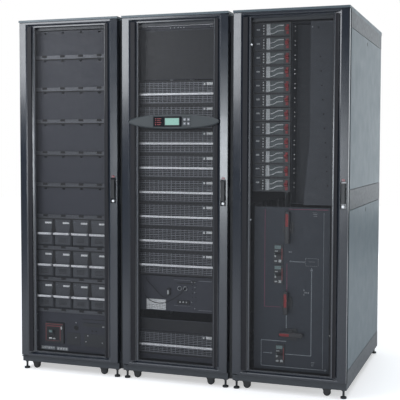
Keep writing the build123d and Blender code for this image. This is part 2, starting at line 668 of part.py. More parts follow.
def disconnect_housing():
    """The battery disconnect drawer: a folded box with socket holes, under the lowest shelf."""
    y, z = (BLANK_Y, DISCONNECT_BACK_Y), (DISCONNECT_LOW_Z, shelf_z(0) - SHELF_LIP - 2)
    box_shell = channel(SHELF_X, y, z, OPEN_BACK)
    front_y = (BLANK_Y - 1, BLANK_Y + 4)
    opening = block(grown(BREAKER_X, 2), front_y, grown(BREAKER_Z, 2))
    holes = [depth_round(radius, x, front_y, height) for x, height, radius in SOCKET_HOLES]
    return box_shell - opening - holes


def battery_breaker():
    body = block(BREAKER_X, BREAKER_Y, BREAKER_Z)
    body = chamfer(body.edges().group_by(Axis.Y)[0], 2.0)
    return body - BATTERY_TOGGLE.well()


# ---------------------------------------------------------------- power cabinet contents
def power_module(low):
    """A slide-in converter module with a sunken air-intake face and a label land."""
    x = (BAY_LEFT, BAY_RIGHT)
    front = POWER_MODULE_FACE_Y
    case_y = (front + 2, front + POWER_MODULE_LENGTH)
    body = case(grown(x, -8), case_y, (low + 1, low + UNIT_PITCH - 3), POWER_MODULE_WALL)
    face = block(x, (front, front + 6), (low, low + UNIT_PITCH - 2))
    recess = block(INTAKE_X, (front - 1, front + 3), (low + 8, low + UNIT_PITCH - 10))
    return body + face - recess


def centre_bar(z):
    return pull_bar((BAY_LEFT + 4, BAY_RIGHT - 4), z, POWER_MODULE_FACE_Y, 22.0)


def connection_unit():
    """The signal and control connection panel with its row of sockets."""
    front = POWER_MODULE_FACE_Y + 8
    unit = case((BAY_LEFT, BAY_RIGHT), (front, front + CONNECTION_DEPTH), CONNECTION_Z, 6.0)
    cover_x, cover_z = CONNECTION_COVER
    unit = unit + block(cover_x, (front - 3, front), cover_z)
    outer, inner = RING_RADII
    for x, z in RING_SOCKETS:
        bore = depth_round(inner, x, (front - 7, front + RING_SOCKET_DEPTH), z)
        ring = depth_round(outer, x, (front - 6, front), z) - bore
        unit = unit - bore
        unit = unit + ring
    for row in range(PIN_HOLE_ROWS):
        height = CONNECTION_Z[1] - 19 - row * PIN_HOLE_PITCH
        for x in PIN_HOLE_COLUMNS:
            unit = unit - depth_round(3.0, x, (front - 1, front + 4), height)
    return unit


def held_lead(points, radius):
    """A lead of straight runs joined by tangent arcs as large as the runs allow."""
    path_points = [Vector(*point) for point in points]
    bends = []
    for before, here, after in zip(path_points, path_points[1:], path_points[2:]):
        half_turn = math.radians((here - before).get_angle(after - here) / 2)
        shorter = min((here - before).length, (after - here).length)
        bends.append(0.45 * shorter / math.tan(half_turn))
    path = FilletPolyline(*path_points, radius=bends)
    section = Plane(origin=path @ 0, z_dir=path % 0) * Circle(radius)
    lead = sweep(section, path=path)
    print(f"lead {path.length:.0f} mm long, tightest bend {min(bends):.1f} mm, volume ratio "
          f"{lead.volume / (math.pi * radius ** 2 * path.length):.4f}")
    return lead


def patch_leads():
    """Two leads that come straight out of the connection panel and go back into it."""
    face = POWER_MODULE_FACE_Y + 8
    out = face - LEAD_STANDOFF
    leads = []
    for route in PATCH_LEADS:
        first, last = route[0], route[-1]
        socket = last in RING_SOCKETS
        points = [(first[0], face, first[1])] + [(x, out, z) for x, z in route]
        points.append((last[0], face + (RING_SOCKET_DEPTH if socket else 0), last[1]))
        leads.append(held_lead(points, LEAD_RADIUS))
    return leads


def outgoing_tails(row):
    """The wire tails of one breaker, from its terminals across to the clamp comb."""
    depth = OUTGOING_FACE_Y + WIRING_FIELD_DEPTH / 2
    tails = []
    for height in TAIL_HEIGHTS:
        middle = outgoing_z(row) + height
        tails.append(held_lead([(x, depth, middle + rise) for x, rise in TAIL_ROUTE], TAIL_RADIUS))
    return tails


def centre_blanks():
    """Flat covers over the unused space of the power-module cabinet."""
    y = (POWER_MODULE_FACE_Y, POWER_MODULE_FACE_Y + SHEET)
    above_static = (STATIC_SWITCH_Z + UNIT_PITCH, CONNECTION_Z[0] - 46)
    spans = ((DISCONNECT_LOW_Z, STATIC_SWITCH_Z - 2), above_static, TOP_BLANK_Z, TOP_STRIP_Z)
    return [block((BAY_LEFT, BAY_RIGHT), y, z) for z in spans]


# ---------------------------------------------------------------- distribution cabinet contents
def outgoing_module(row):
    """One outgoing breaker module with its cable clamp comb and breaker hub well."""
    middle = outgoing_z(row)
    z = (middle - OUTGOING_PITCH / 2 + 1.5, middle + OUTGOING_PITCH / 2 - 1.5)
    front = OUTGOING_FACE_Y
    body = block(OUTGOING_X, (front, front + OUTGOING_DEPTH), z)
    body = body - block(WIRING_FIELD_X, (front - 1, front + WIRING_FIELD_DEPTH), grown(z, -6))
    body = body - block(CLAMP_COMB_X, (front - 1, front + 4), grown(z, -8))
    return body - OUTGOING_TOGGLES[row].well()


def wiring_trough():
    """Open cable channel beside the breaker modules, and its cover plate with a slanted lower edge."""
    channel_part = channel(TROUGH_X, TROUGH_Y, TROUGH_Z, OPEN_FRONT)
    low_left, left, right = COVER_X
    low, slant_top, high = COVER_Z
    outline = [(left, high), (right, high), (right, low), (low_left, low), (left, slant_top)]
    face = make_face(Wire.make_polygon([Vector(x, 0, height) for x, height in outline], close=True))
    plate = Pos(0, COVER_FACE_Y, 0) * extrude(face, SHEET, dir=(0, 1, 0))
    cuts = []
    for row in range(OUTGOING_COUNT):
        x = COVER_HOLE_X + COVER_HOLE_STEP * (OUTGOING_COUNT - 1 - row)
        cuts.append(depth_round(4.0, x, grown((COVER_FACE_Y, COVER_FACE_Y + SHEET), 2), outgoing_z(row)))
    return [channel_part, plate - cuts]


def mimic_panel():
    """The switchgear front plate, cut out for its breakers and switch shafts."""
    plate = block(MIMIC_X, (MIMIC_FACE_Y, MIMIC_FACE_Y + 3), MIMIC_Z)
    for x, z in MIMIC_BREAKER_CENTRES:
        plate = plate - mimic_breaker_room(x, z, (MIMIC_FACE_Y - 1, MIMIC_FACE_Y + 4))
    for switch in ROTARY_SWITCHES:
        plate = plate - switch.shaft_hole()
    return plate


def switch_bases():
    bases = [switch.escutcheon() for switch in ROTARY_SWITCHES]
    for (x, z), toggle in zip(MIMIC_BREAKER_CENTRES, MIMIC_TOGGLES):
        bases.append(mimic_breaker_body(x, z) - toggle.well())
    return bases


# ---------------------------------------------------------------- the row
def foot_and_caster_places():
    """Foot and caster centres at a cabinet's four corners; the parked casters all trail to the left."""
    places = []
    rear_y = BODY_DEPTH - 35
    for foot_y, caster_y in ((38.0, 60.0), (rear_y, rear_y)):
        places.append(((18.0, foot_y), (70.0, caster_y)))
        places.append(((CABINET_WIDTH - 18, foot_y), (CABINET_WIDTH - 108, caster_y)))
    return places


def build_structure():
    frame, door, mesh = cabinet_frame(), front_door(), mesh_panel()
    handle, button = door_handle(), latch_button()
    for cabinet, name in zip(CABINETS, NAMES):
        save(f"{name}_frame", [in_row(frame, cabinet)])
        save(f"{name}_door", [in_row(door, cabinet)])
        save(f"{name}_door_mesh", [in_row(mesh, cabinet)])
        save(f"{name}_door_handle", [in_row(handle, cabinet)])
        save(f"{name}_latch_button", [in_row(button, cabinet)])
    roof, rear = roof_panel(), rear_panel()
    save("roof_panels", [in_row(roof, cabinet) for cabinet in CABINETS])
    save("rear_panels", [in_row(rear, cabinet) for cabinet in CABINETS])
    panels = side_panel_pair()
    sides = [in_row(panel, LEFT) for panel in panels]
    sides += [in_row(mirrored(panel), RIGHT) for panel in panels]
    save("side_panels", sides[0::2])
    save("side_panel_latches", sides[1::2])
    rails = []
    front_rail, rear_rail = mounting_rail(True), Pos(0, REAR_RAIL_OFFSET, 0) * mounting_rail(False)
    for rail in (front_rail, mirrored(front_rail), rear_rail, mirrored(rear_rail)):
        rails += [in_row(rail, cabinet) for cabinet in CABINETS]
    save("mounting_rails", rails)
    strips = []
    for cabinet in (LEFT, CENTRE):
        for y in (FRAME_FRONT_Y + 4, FRAME_BACK_Y - POST):
            gap = (CABINET_WIDTH, CABINET_WIDTH + CABINET_GAP)
            strip = block(gap, (y, y + BAYING_STRIP_DEPTH), (BASE_Z, FRAME_TOP_Z))
            strips.append(in_row(strip, cabinet))
    save("baying_strips", strips)
    feet, casters = [], []
    for foot_place, caster_place in foot_and_caster_places():
        for cabinet in CABINETS:
            feet.append(in_row(levelling_foot(*foot_place), cabinet))
            casters += [in_row(piece, cabinet) for piece in caster(*caster_place)]
    save("levelling_feet", feet)
    save("casters", casters)


def build_display():
    save("display_bezel", [in_row(display_bezel(), CENTRE)])
    save("display_window", [in_row(display_window(), CENTRE)])
    number = 0
    for z in KEY_Z:
        for x in KEY_X:
            number += 1
            save(f"display_key_{number}", [in_row(display_key(x, z), CENTRE)])


def build_battery_cabinet():
    shelves = [in_row(battery_shelf(i), LEFT) for i in range(BATTERY_SHELF_COUNT)]
    save("battery_shelves", shelves)
    blanks = [in_row(battery_blank(i), LEFT) for i in range(BATTERY_ROWS, BATTERY_SHELF_COUNT)]
    blanks += [in_row(blank, CENTRE) for blank in centre_blanks()]
    save("blank_plates", blanks)
    modules = []
    for row in range(BATTERY_ROWS):
        for column in range(BATTERY_COLUMNS):
            modules.append(in_row(battery_module(column, row), LEFT))
    save("battery_modules", modules)
    save("disconnect_housing", [in_row(disconnect_housing(), LEFT)])
    save("battery_breaker_lever", [in_row(BATTERY_TOGGLE.lever(), LEFT)])


def build_power_cabinet():
    heights = [POWER_MODULE_FIRST_Z + i * UNIT_PITCH for i in range(POWER_MODULE_COUNT)]
    heights.append(STATIC_SWITCH_Z)     # the static switch is a module of the same case
    save("power_modules", [in_row(power_module(low), CENTRE) for low in heights])
    save("connection_unit", [in_row(connection_unit(), CENTRE)])
    bars = [in_row(centre_bar(low + CENTRE_BAR_RISE), CENTRE) for low in heights]
    save("module_pull_bars", [in_row(bar, LEFT) for bar in battery_bars()] + bars)


def build_distribution_cabinet():
    save("outgoing_modules", [in_row(outgoing_module(row), RIGHT) for row in range(OUTGOING_COUNT)])
    for row, toggle in enumerate(OUTGOING_TOGGLES):
        save(f"outgoing_lever_{row + 1:02d}", [in_row(toggle.lever(), RIGHT)])
    save("wiring_trough", [in_row(piece, RIGHT) for piece in wiring_trough()])
    save("mimic_panel", [in_row(mimic_panel(), RIGHT)])
    bodies = [in_row(battery_breaker(), LEFT)] + [in_row(base, RIGHT) for base in switch_bases()]
    save("breaker_bodies", bodies)
    for switch in ROTARY_SWITCHES:
        save(switch.name, [in_row(switch.handle(), RIGHT)])
    for number, toggle in enumerate(MIMIC_TOGGLES, start=1):
        save(f"mimic_breaker_lever_{number}", [in_row(toggle.lever(), RIGHT)])


def build_held_cables():
    cables = [in_row(lead, CENTRE) for lead in patch_leads()]
    for row in range(OUTGOING_COUNT):
        cables += [in_row(tail, RIGHT) for tail in outgoing_tails(row)]
    save("held_cables", cables)


build_structure()
build_display()
build_battery_cabinet()
build_power_cabinet()
build_distribution_cabinet()
build_held_cables()
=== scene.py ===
"""Looks for the three-cabinet UPS row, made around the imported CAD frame.

Detail pieces are laid out in millimetres in each cabinet's own corner frame, the one the CAD uses:
x from the cabinet's left side, y from the face of its front door, z from the floor.
"""
import json
import math

import bpy
from mathutils import Matrix, Vector


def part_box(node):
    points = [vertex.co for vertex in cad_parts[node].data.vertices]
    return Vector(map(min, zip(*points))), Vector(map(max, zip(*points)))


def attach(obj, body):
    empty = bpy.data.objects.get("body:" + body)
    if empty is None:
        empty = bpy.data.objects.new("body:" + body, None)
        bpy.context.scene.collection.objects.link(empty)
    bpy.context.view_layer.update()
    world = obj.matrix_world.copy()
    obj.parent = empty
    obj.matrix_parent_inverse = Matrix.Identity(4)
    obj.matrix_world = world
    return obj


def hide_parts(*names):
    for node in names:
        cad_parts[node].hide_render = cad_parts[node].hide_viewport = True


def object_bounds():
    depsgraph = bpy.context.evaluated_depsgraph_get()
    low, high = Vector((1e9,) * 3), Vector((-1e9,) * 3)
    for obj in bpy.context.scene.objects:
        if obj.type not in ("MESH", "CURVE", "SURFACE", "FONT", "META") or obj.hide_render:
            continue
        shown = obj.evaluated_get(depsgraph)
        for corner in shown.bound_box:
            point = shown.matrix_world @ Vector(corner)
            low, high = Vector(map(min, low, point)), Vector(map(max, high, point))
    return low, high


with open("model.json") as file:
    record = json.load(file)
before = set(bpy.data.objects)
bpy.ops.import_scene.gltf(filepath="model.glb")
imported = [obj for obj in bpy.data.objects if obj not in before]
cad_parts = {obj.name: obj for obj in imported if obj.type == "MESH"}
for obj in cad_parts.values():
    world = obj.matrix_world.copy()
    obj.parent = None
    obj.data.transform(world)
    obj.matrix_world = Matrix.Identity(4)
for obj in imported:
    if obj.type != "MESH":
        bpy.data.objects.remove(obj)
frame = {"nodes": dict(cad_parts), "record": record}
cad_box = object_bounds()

MM = 0.001
LEFT, CENTRE, RIGHT = 0, 1, 2
NAMES = ("left", "centre", "right")
ROW = "cabinet_row"

row_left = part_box("left_frame")[0].x
door_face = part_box("left_door")[0].y
cabinet_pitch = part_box("centre_frame")[0].x - row_left


def place(cabinet, x, y, z):
    """A point of a cabinet's corner frame, in metres in the row frame."""
    return Vector((row_left + cabinet * cabinet_pitch + x * MM, door_face + y * MM, z * MM))


def local_box(node, cabinet):
    """A CAD node's box in a cabinet's corner frame, in millimetres, as x, y and z pairs."""
    low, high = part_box(node)
    corner = place(cabinet, 0, 0, 0)
    return tuple(((a - c) / MM, (b - c) / MM) for a, b, c in zip(low, high, corner))


# ---------------------------------------------------------------- camera
CAMERA_PLACE = (1.707, -4.859, 1.286)
CAMERA_AZIMUTH, CAMERA_PITCH, CAMERA_ROLL = 18.64, 3.03, 0.23
camera_data = bpy.data.cameras.new("camera")
camera_data.lens = 77.86
camera_data.sensor_width = 36.0
camera_data.shift_x = -0.045
camera_data.shift_y = -0.019
camera = bpy.data.objects.new("camera", camera_data)
turn = Matrix.Rotation(math.radians(CAMERA_AZIMUTH), 4, "Z")
tilt = Matrix.Rotation(math.radians(90 - CAMERA_PITCH), 4, "X")
roll = Matrix.Rotation(math.radians(CAMERA_ROLL), 4, "Z")
camera.matrix_world = Matrix.Translation(CAMERA_PLACE) @ turn @ tilt @ roll
bpy.context.scene.collection.objects.link(camera)
bpy.context.scene.camera = camera


# ---------------------------------------------------------------- materials
def nodes_of(name):
    made = bpy.data.materials.new(name)
    made.use_nodes = True
    tree = made.node_tree
    shader = tree.nodes["Principled BSDF"]
    where = tree.nodes.new("ShaderNodeTexCoord")
    return made, tree, shader, where.outputs["Object"]


def noise(tree, where, scale, detail=3.0, stretch=None):
    source = where
    if stretch:
        mapping = tree.nodes.new("ShaderNodeMapping")
        mapping.inputs["Scale"].default_value = stretch
        tree.links.new(where, mapping.inputs["Vector"])
        source = mapping.outputs["Vector"]
    texture = tree.nodes.new("ShaderNodeTexNoise")
    texture.inputs["Scale"].default_value = scale
    texture.inputs["Detail"].default_value = detail
    tree.links.new(source, texture.inputs["Vector"])
    return texture.outputs["Fac"]


def ranged(tree, value, low, high):
    node = tree.nodes.new("ShaderNodeMapRange")
    node.inputs["From Min"].default_value = 0.3
    node.inputs["From Max"].default_value = 0.7
    node.inputs["To Min"].default_value = low
    node.inputs["To Max"].default_value = high
    tree.links.new(value, node.inputs["Value"])
    return node.outputs["Result"]


def blended(tree, value, dark, light):
    node = tree.nodes.new("ShaderNodeMix")
    node.data_type = "RGBA"
    node.inputs["A"].default_value = (*dark, 1)
    node.inputs["B"].default_value = (*light, 1)
    tree.links.new(value, node.inputs["Factor"])
    return node.outputs["Result"]


def finish(name, colour, rough=(0.35, 0.5), mottle=0.08, patch=7.0, grain=1400.0, bump=0.12,
           metallic=0.0, stretch=None, specular=0.5, coat=0.0, edge=0.0):
    """A procedural finish: broad colour patches, fine grain in the bump, uneven gloss."""
    made, tree, shader, where = nodes_of(name)
    broad = noise(tree, where, patch, 5.0, stretch)
    dark = [c * (1 - mottle) for c in colour]
    light = [min(1.0, c * (1 + mottle)) for c in colour]
    tint = blended(tree, ranged(tree, broad, 0.0, 1.0), dark, light)
    tree.links.new(tint, shader.inputs["Base Color"])
    middle = noise(tree, where, patch * 9, 4.0, stretch)
    tree.links.new(ranged(tree, middle, *rough), shader.inputs["Roughness"])
    shader.inputs["Metallic"].default_value = metallic
    shader.inputs["Specular IOR Level"].default_value = specular
    shader.inputs["Coat Weight"].default_value = coat
    fine = noise(tree, where, grain, 2.0, stretch)
    bumps = tree.nodes.new("ShaderNodeBump")
    bumps.inputs["Strength"].default_value = bump
    bumps.inputs["Distance"].default_value = 0.0004
    tree.links.new(fine, bumps.inputs["Height"])
    if edge:
        soft = tree.nodes.new("ShaderNodeBevel")
        soft.samples = 3
        soft.inputs["Radius"].default_value = edge
        tree.links.new(soft.outputs["Normal"], bumps.inputs["Normal"])
    tree.links.new(bumps.outputs["Normal"], shader.inputs["Normal"])
    return made


def glowing(name, colour, strength, cell):
    """A lit display: even glow broken by a fine pixel grid."""
    made, tree, shader, where = nodes_of(name)
    grid = tree.nodes.new("ShaderNodeTexBrick")
    grid.offset = 0.0
    grid.inputs["Scale"].default_value = 1.0
    grid.inputs["Brick Width"].default_value = cell
    grid.inputs["Row Height"].default_value = cell
    grid.inputs["Mortar Size"].default_value = cell * 0.08
    grid.inputs["Color1"].default_value = (*colour, 1)
    grid.inputs["Color2"].default_value = (*[c * 0.93 for c in colour], 1)
    grid.inputs["Mortar"].default_value = (*[c * 0.6 for c in colour], 1)
    swap = tree.nodes.new("ShaderNodeMapping")
    swap.inputs["Rotation"].default_value = (math.radians(90), 0, 0)
    tree.links.new(where, swap.inputs["Vector"])
    tree.links.new(swap.outputs["Vector"], grid.inputs["Vector"])
    shader.inputs["Base Color"].default_value = (0.02, 0.03, 0.03, 1)
    tree.links.new(grid.outputs["Color"], shader.inputs["Emission Color"])
    shader.inputs["Emission Strength"].default_value = strength
    shader.inputs["Roughness"].default_value = 0.25
    return made


ALONG_X = (0.04, 1.0, 1.0)
LOOKS = {
    "frame_paint": finish("frame_paint", (0.030, 0.035, 0.042), (0.36, 0.46), mottle=0.03, bump=0.02,
                          edge=0.001),
    "door_paint": finish("door_paint", (0.010, 0.014, 0.022), (0.21, 0.25), mottle=0.02, patch=2.0,
                         grain=300.0, bump=0.0,
                         specular=0.75, coat=0.1, edge=0.003),
    "mesh_steel": finish("mesh_steel", (0.010, 0.011, 0.014), (0.5, 0.65)),
    # The side panels' lighter, bluer colour is partly their own dark paint and partly painted light,
    # standing in for the bright glancing light from the right.
    "side_paint": finish("side_paint", (0.064, 0.089, 0.104), (0.38, 0.44), mottle=0.02, patch=1.5,
                         bump=0.02),
    "black_plastic": finish("black_plastic", (0.012, 0.013, 0.015), (0.32, 0.5), grain=2500),
    "white_plastic": finish("white_plastic", (0.82, 0.83, 0.84), (0.22, 0.34), mottle=0.03),
    "zinc_steel": finish("zinc_steel", (0.45, 0.47, 0.49), (0.3, 0.5), metallic=0.9, patch=60),
    "black_steel": finish("black_steel", (0.016, 0.018, 0.021), (0.42, 0.6)),
    "caster_grey": finish("caster_grey", (0.020, 0.021, 0.023), (0.4, 0.6), patch=90),
    "bezel_plastic": finish("bezel_plastic", (0.020, 0.027, 0.031), (0.36, 0.44), bump=0.03, edge=0.002),
    "display_glass": finish("display_glass", (0.010, 0.011, 0.014), (0.07, 0.13), bump=0.01),
    "shelf_steel": finish("shelf_steel", (0.11, 0.115, 0.13), (0.3, 0.45), metallic=0.3, edge=0.0006),
    "blank_paint": finish("blank_paint", (0.034, 0.037, 0.053), (0.45, 0.6), mottle=0.04, patch=4,
                          bump=0.04),
    "battery_case": finish("battery_case", (0.075, 0.080, 0.092), (0.38, 0.52), bump=0.06, edge=0.001),
    "bar_aluminium": finish("bar_aluminium", (0.88, 0.88, 0.91), (0.3, 0.45), metallic=0.3, patch=260,
                            grain=1800, stretch=ALONG_X, mottle=0.06, edge=0.0008),
    "breaker_plastic": finish("breaker_plastic", (0.034, 0.037, 0.042), (0.35, 0.5)),
    "module_paint": finish("module_paint", (0.008, 0.009, 0.013), (0.4, 0.55)),
    "trough_steel": finish("trough_steel", (0.040, 0.046, 0.058), (0.45, 0.6), mottle=0.06, bump=0.05),
    "mimic_paint": finish("mimic_paint", (0.025, 0.033, 0.048), (0.42, 0.56), mottle=0.05, patch=5,
                          bump=0.05),
    "key_plastic": finish("key_plastic", (0.17, 0.18, 0.20), (0.3, 0.42), grain=2600),
    "red_plastic": finish("red_plastic", (0.30, 0.022, 0.026), (0.35, 0.5), mottle=0.12, patch=50,
                          bump=0.04),
    "switch_plastic": finish("switch_plastic", (0.045, 0.046, 0.050), (0.3, 0.45), grain=2400, edge=0.001),
}
LOOKS.update({
    "lcd_glow": glowing("lcd_glow", (0.33, 0.62, 0.54), 0.85, 0.0022),
    "label_paper": finish("label_paper", (0.80, 0.81, 0.82), (0.5, 0.65), mottle=0.05, patch=120, bump=0.03),
    "label_dim": finish("label_dim", (0.30, 0.32, 0.34), (0.5, 0.65), mottle=0.12, patch=120),
    "ink_grey": finish("ink_grey", (0.30, 0.33, 0.36), (0.5, 0.6), mottle=0.1, patch=150),
    "ink_purple": finish("ink_purple", (0.25, 0.060, 0.120), (0.5, 0.6), mottle=0.12, patch=150),
    "green_grey": finish("green_grey", (0.090, 0.112, 0.115), (0.4, 0.55), mottle=0.1, patch=40, bump=0.05),
    "strip_grey": finish("strip_grey", (0.56, 0.58, 0.59), (0.35, 0.5), mottle=0.08, patch=120, bump=0.05),
    "cable_jacket": finish("cable_jacket", (0.72, 0.74, 0.76), (0.4, 0.55), mottle=0.08, patch=200,
                           bump=0.04),
    "dark_jacket": finish("dark_jacket", (0.012, 0.012, 0.014), (0.4, 0.55), mottle=0.2, patch=200),
    "grille_steel": finish("grille_steel", (0.26, 0.27, 0.30), (0.35, 0.5), metallic=0.3, patch=90,
                           stretch=ALONG_X,
                           bump=0.05),
    # Near-black for the strips of painted shade over the door windows' grooves.
    "shade_black": finish("shade_black", (0.006, 0.006, 0.009), (0.5, 0.62), patch=30, bump=0.03,
                          specular=0.3),
    "hole_black": finish("hole_black", (0.004, 0.004, 0.005), (0.6, 0.8), mottle=0.3, patch=80),
    "teal_plastic": finish("teal_plastic", (0.19, 0.27, 0.27), (0.3, 0.45), mottle=0.1, patch=60),
    "led_red": finish("led_red", (0.30, 0.05, 0.055), (0.3, 0.4), mottle=0.1, patch=300),
    # Light grey of the shelf latch clips; on the door windows' side edges the same grey is a painted
    # highlight.
    "clip_and_highlight_grey": finish("clip_and_highlight_grey", (0.12, 0.125, 0.14), (0.3, 0.42), mottle=0.05, patch=20, bump=0.03),
})


# ---------------------------------------------------------------- mesh tools
class Piece:
    """Gathers small solids of one material, in a cabinet's corner frame, into one mesh piece."""

    def __init__(self, cabinet):
        self.cabinet = cabinet
        self.points = []
        self.faces = []

    def solid(self, points, faces):
        start = len(self.points)
        self.points += [place(self.cabinet, *p) for p in points]
        self.faces += [tuple(start + i for i in face) for face in faces]
        return self

    def box(self, x, y, z):
        corners = [(a, b, c) for c in z for b in y for a in x]
        sides = [(0, 2, 3, 1), (4, 5, 7, 6), (0, 1, 5, 4), (1, 3, 7, 5), (3, 2, 6, 7), (2, 0, 4, 6)]
        return self.solid(corners, sides)

    def prism(self, outline, y):
        """A front-view outline of (x, z) points, thickened along y."""
        n = len(outline)
        points = [(px, y[0], pz) for px, pz in outline] + [(px, y[1], pz) for px, pz in outline]
        faces = [tuple(range(n)), tuple(range(2 * n - 1, n - 1, -1))]
        faces += [(i, i + n, (i + 1) % n + n, (i + 1) % n) for i in range(n)]
        return self.solid(points, faces)

    def dish(self, x, z, radius, y, sides=20, squash=1.0):
        """A round boss whose front edge is turned over."""
        rings = [(radius, y[1]), (radius, y[0] + radius * 0.12), (radius * 0.88, y[0])]
        points = []
        for r, py in rings:
            for i in range(sides):
                a = math.tau * i / sides
                points.append((x + r * math.cos(a), py, z + r * squash * math.sin(a)))
        faces = []
        for ring in range(2):
            for i in range(sides):
                j = (i + 1) % sides
                a, b = ring * sides, (ring + 1) * sides
                faces.append((a + i, b + i, b + j, a + j))
        faces.append(tuple(range(sides))[::-1])
        faces.append(tuple(range(2 * sides, 3 * sides)))
        return self.solid(points, faces)

    def ring(self, x, z, outer, inner, y, sides=24):
        points = []
        for r, py in ((outer, y[1]), (outer, y[0]), (inner, y[0]), (inner, y[1])):
            for i in range(sides):
                a = math.tau * i / sides
                points.append((x + r * math.cos(a), py, z + r * math.sin(a)))
        faces = []
        for ring in range(4):
            a, b = ring * sides, ((ring + 1) % 4) * sides
            for i in range(sides):
                j = (i + 1) % sides
                faces.append((a + i, b + i, b + j, a + j))
        return self.solid(points, faces)

    def screw(self, x, z, y, radius=4.0):
        """A pan head with a cross slot cut as four raised quadrants."""
        self.dish(x, z, radius, (y - 1.6, y + 0.5), 16)
        for sx in (-1, 1):
            for sz in (-1, 1):
                inner, outer = radius * 0.14, radius * 0.55
                xs = sorted((x + sx * inner, x + sx * outer))
                zs = sorted((z + sz * inner, z + sz * outer))
                self.box(xs, (y - 2.1, y - 1.4), zs)
        return self

    def done(self, name, look, body=ROW, bevel=0.0, smooth=True):
        mesh = bpy.data.meshes.new(name)
        mesh.from_pydata([tuple(p) for p in self.points], [], self.faces)
        mesh.materials.append(LOOKS[look])
        made = bpy.data.objects.new(name, mesh)
        bpy.context.scene.collection.objects.link(made)
        if bevel:
            rounding = made.modifiers.new("rounding", "BEVEL")
            rounding.width = bevel * MM
            rounding.segments = 2
            rounding.limit_method = "ANGLE"
            rounding.angle_limit = math.radians(40)
        if smooth:
            mesh.shade_smooth()
            mesh.set_sharp_from_angle(angle=math.radians(35))
        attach(made, body)
        return made


def cable(name, cabinet, points, radius, look, body=ROW):
    """A held cable: a smooth tube through a few points."""
    curve = bpy.data.curves.new(name, "CURVE")
    curve.dimensions = "3D"
    spline = curve.splines.new("NURBS")
    spline.points.add(len(points) - 1)
    for point, where in zip(spline.points, points):
        point.co = (*place(cabinet, *where), 1)
    spline.order_u = 3
    spline.use_endpoint_u = True
    curve.resolution_u = 6
    curve.bevel_depth = radius * MM
    curve.bevel_resolution = 3
    curve.use_fill_caps = True
    curve.materials.append(LOOKS[look])
    made = bpy.data.objects.new(name, curve)
    bpy.context.scene.collection.objects.link(made)
    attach(made, body)
    return made


# ---------------------------------------------------------------- finishes on the CAD nodes
for part in frame["record"]["subparts"]:
    node = frame["nodes"][part["node"]]
    node.data.materials.clear()
    node.data.materials.append(LOOKS[part["material_slot"]])


# ---------------------------------------------------------------- perforated door sheets
HOLE_PITCH = 6.5
HOLE_SHARE = 0.80            # hole width over pitch


def perforated_sheet(cabinet):
    """A honeycomb-punched sheet bowed forward through the door window."""
    name = NAMES[cabinet]
    (left, right), (front, back), (low, high) = local_box(f"{name}_door_mesh", cabinet)
    middle, flat = (left + right) / 2, 11.0
    half = (right - left) / 2 - flat
    seat = back - 0.75
    bow = seat - front - 0.75
    row_step = HOLE_PITCH * math.sqrt(3) / 2
    columns = int((right - left - 2) / HOLE_PITCH)
    rows = int((high - low - 2) / row_step)
    radius = HOLE_PITCH * HOLE_SHARE / math.sqrt(3)
    turns = [math.radians(60 * k) for k in range(6)]
    ring = [(radius * math.sin(turn), radius * math.cos(turn)) for turn in turns]
    points, faces = [], []
    for j in range(rows):
        for i in range(columns):
            cx = left + 2 + (i + 0.5 * (j % 2)) * HOLE_PITCH
            cz = low + 2 + j * row_step
            for dx, dz in ring:
                x = cx + dx
                t = min(1.0, abs(x - middle) / half)
                points.append(place(cabinet, x, seat - bow * (1 - t * t), cz + dz))

    def corner(i, j, k):
        return (j * columns + i) * 6 + k % 6

    for j in range(rows):
        for i in range(columns):
            odd = j % 2
            if i + 1 < columns:
                faces.append((corner(i, j, 1), corner(i, j, 2), corner(i + 1, j, 4), corner(i + 1, j, 5)))
            if j + 1 == rows:
                continue
            right_up, left_up = i + odd, i + odd - 1
            if right_up < columns:
                faces.append((corner(i, j, 0), corner(i, j, 1),
                              corner(right_up, j + 1, 3), corner(right_up, j + 1, 4)))
            if left_up >= 0:
                faces.append((corner(i, j, 5), corner(i, j, 0),
                              corner(left_up, j + 1, 2), corner(left_up, j + 1, 3)))
            if right_up < columns and left_up >= 0:
                faces.append((corner(i, j, 0), corner(right_up, j + 1, 4), corner(left_up, j + 1, 2)))
            if right_up < columns and i + 1 < columns:
                faces.append((corner(i, j, 1), corner(i + 1, j, 5), corner(right_up, j + 1, 3)))
    mesh = bpy.data.meshes.new(f"{name}_perforated_sheet")
    mesh.from_pydata([tuple(p) for p in points], [], faces)
    mesh.materials.append(LOOKS["mesh_steel"])
    made = bpy.data.objects.new(mesh.name, mesh)
    bpy.context.scene.collection.objects.link(made)
    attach(made, f"{name}_door_leaf")
    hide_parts(f"{name}_door_mesh")
    edge = Piece(cabinet)
    for x in ((left, left + flat), (right - flat, right)):
        edge.box(x, (seat - 0.7, seat + 0.7), (low, high))
    edge.done(f"{name}_sheet_margins", "mesh_steel", f"{name}_door_leaf")


for cabinet in (LEFT, CENTRE, RIGHT):
    perforated_sheet(cabinet)
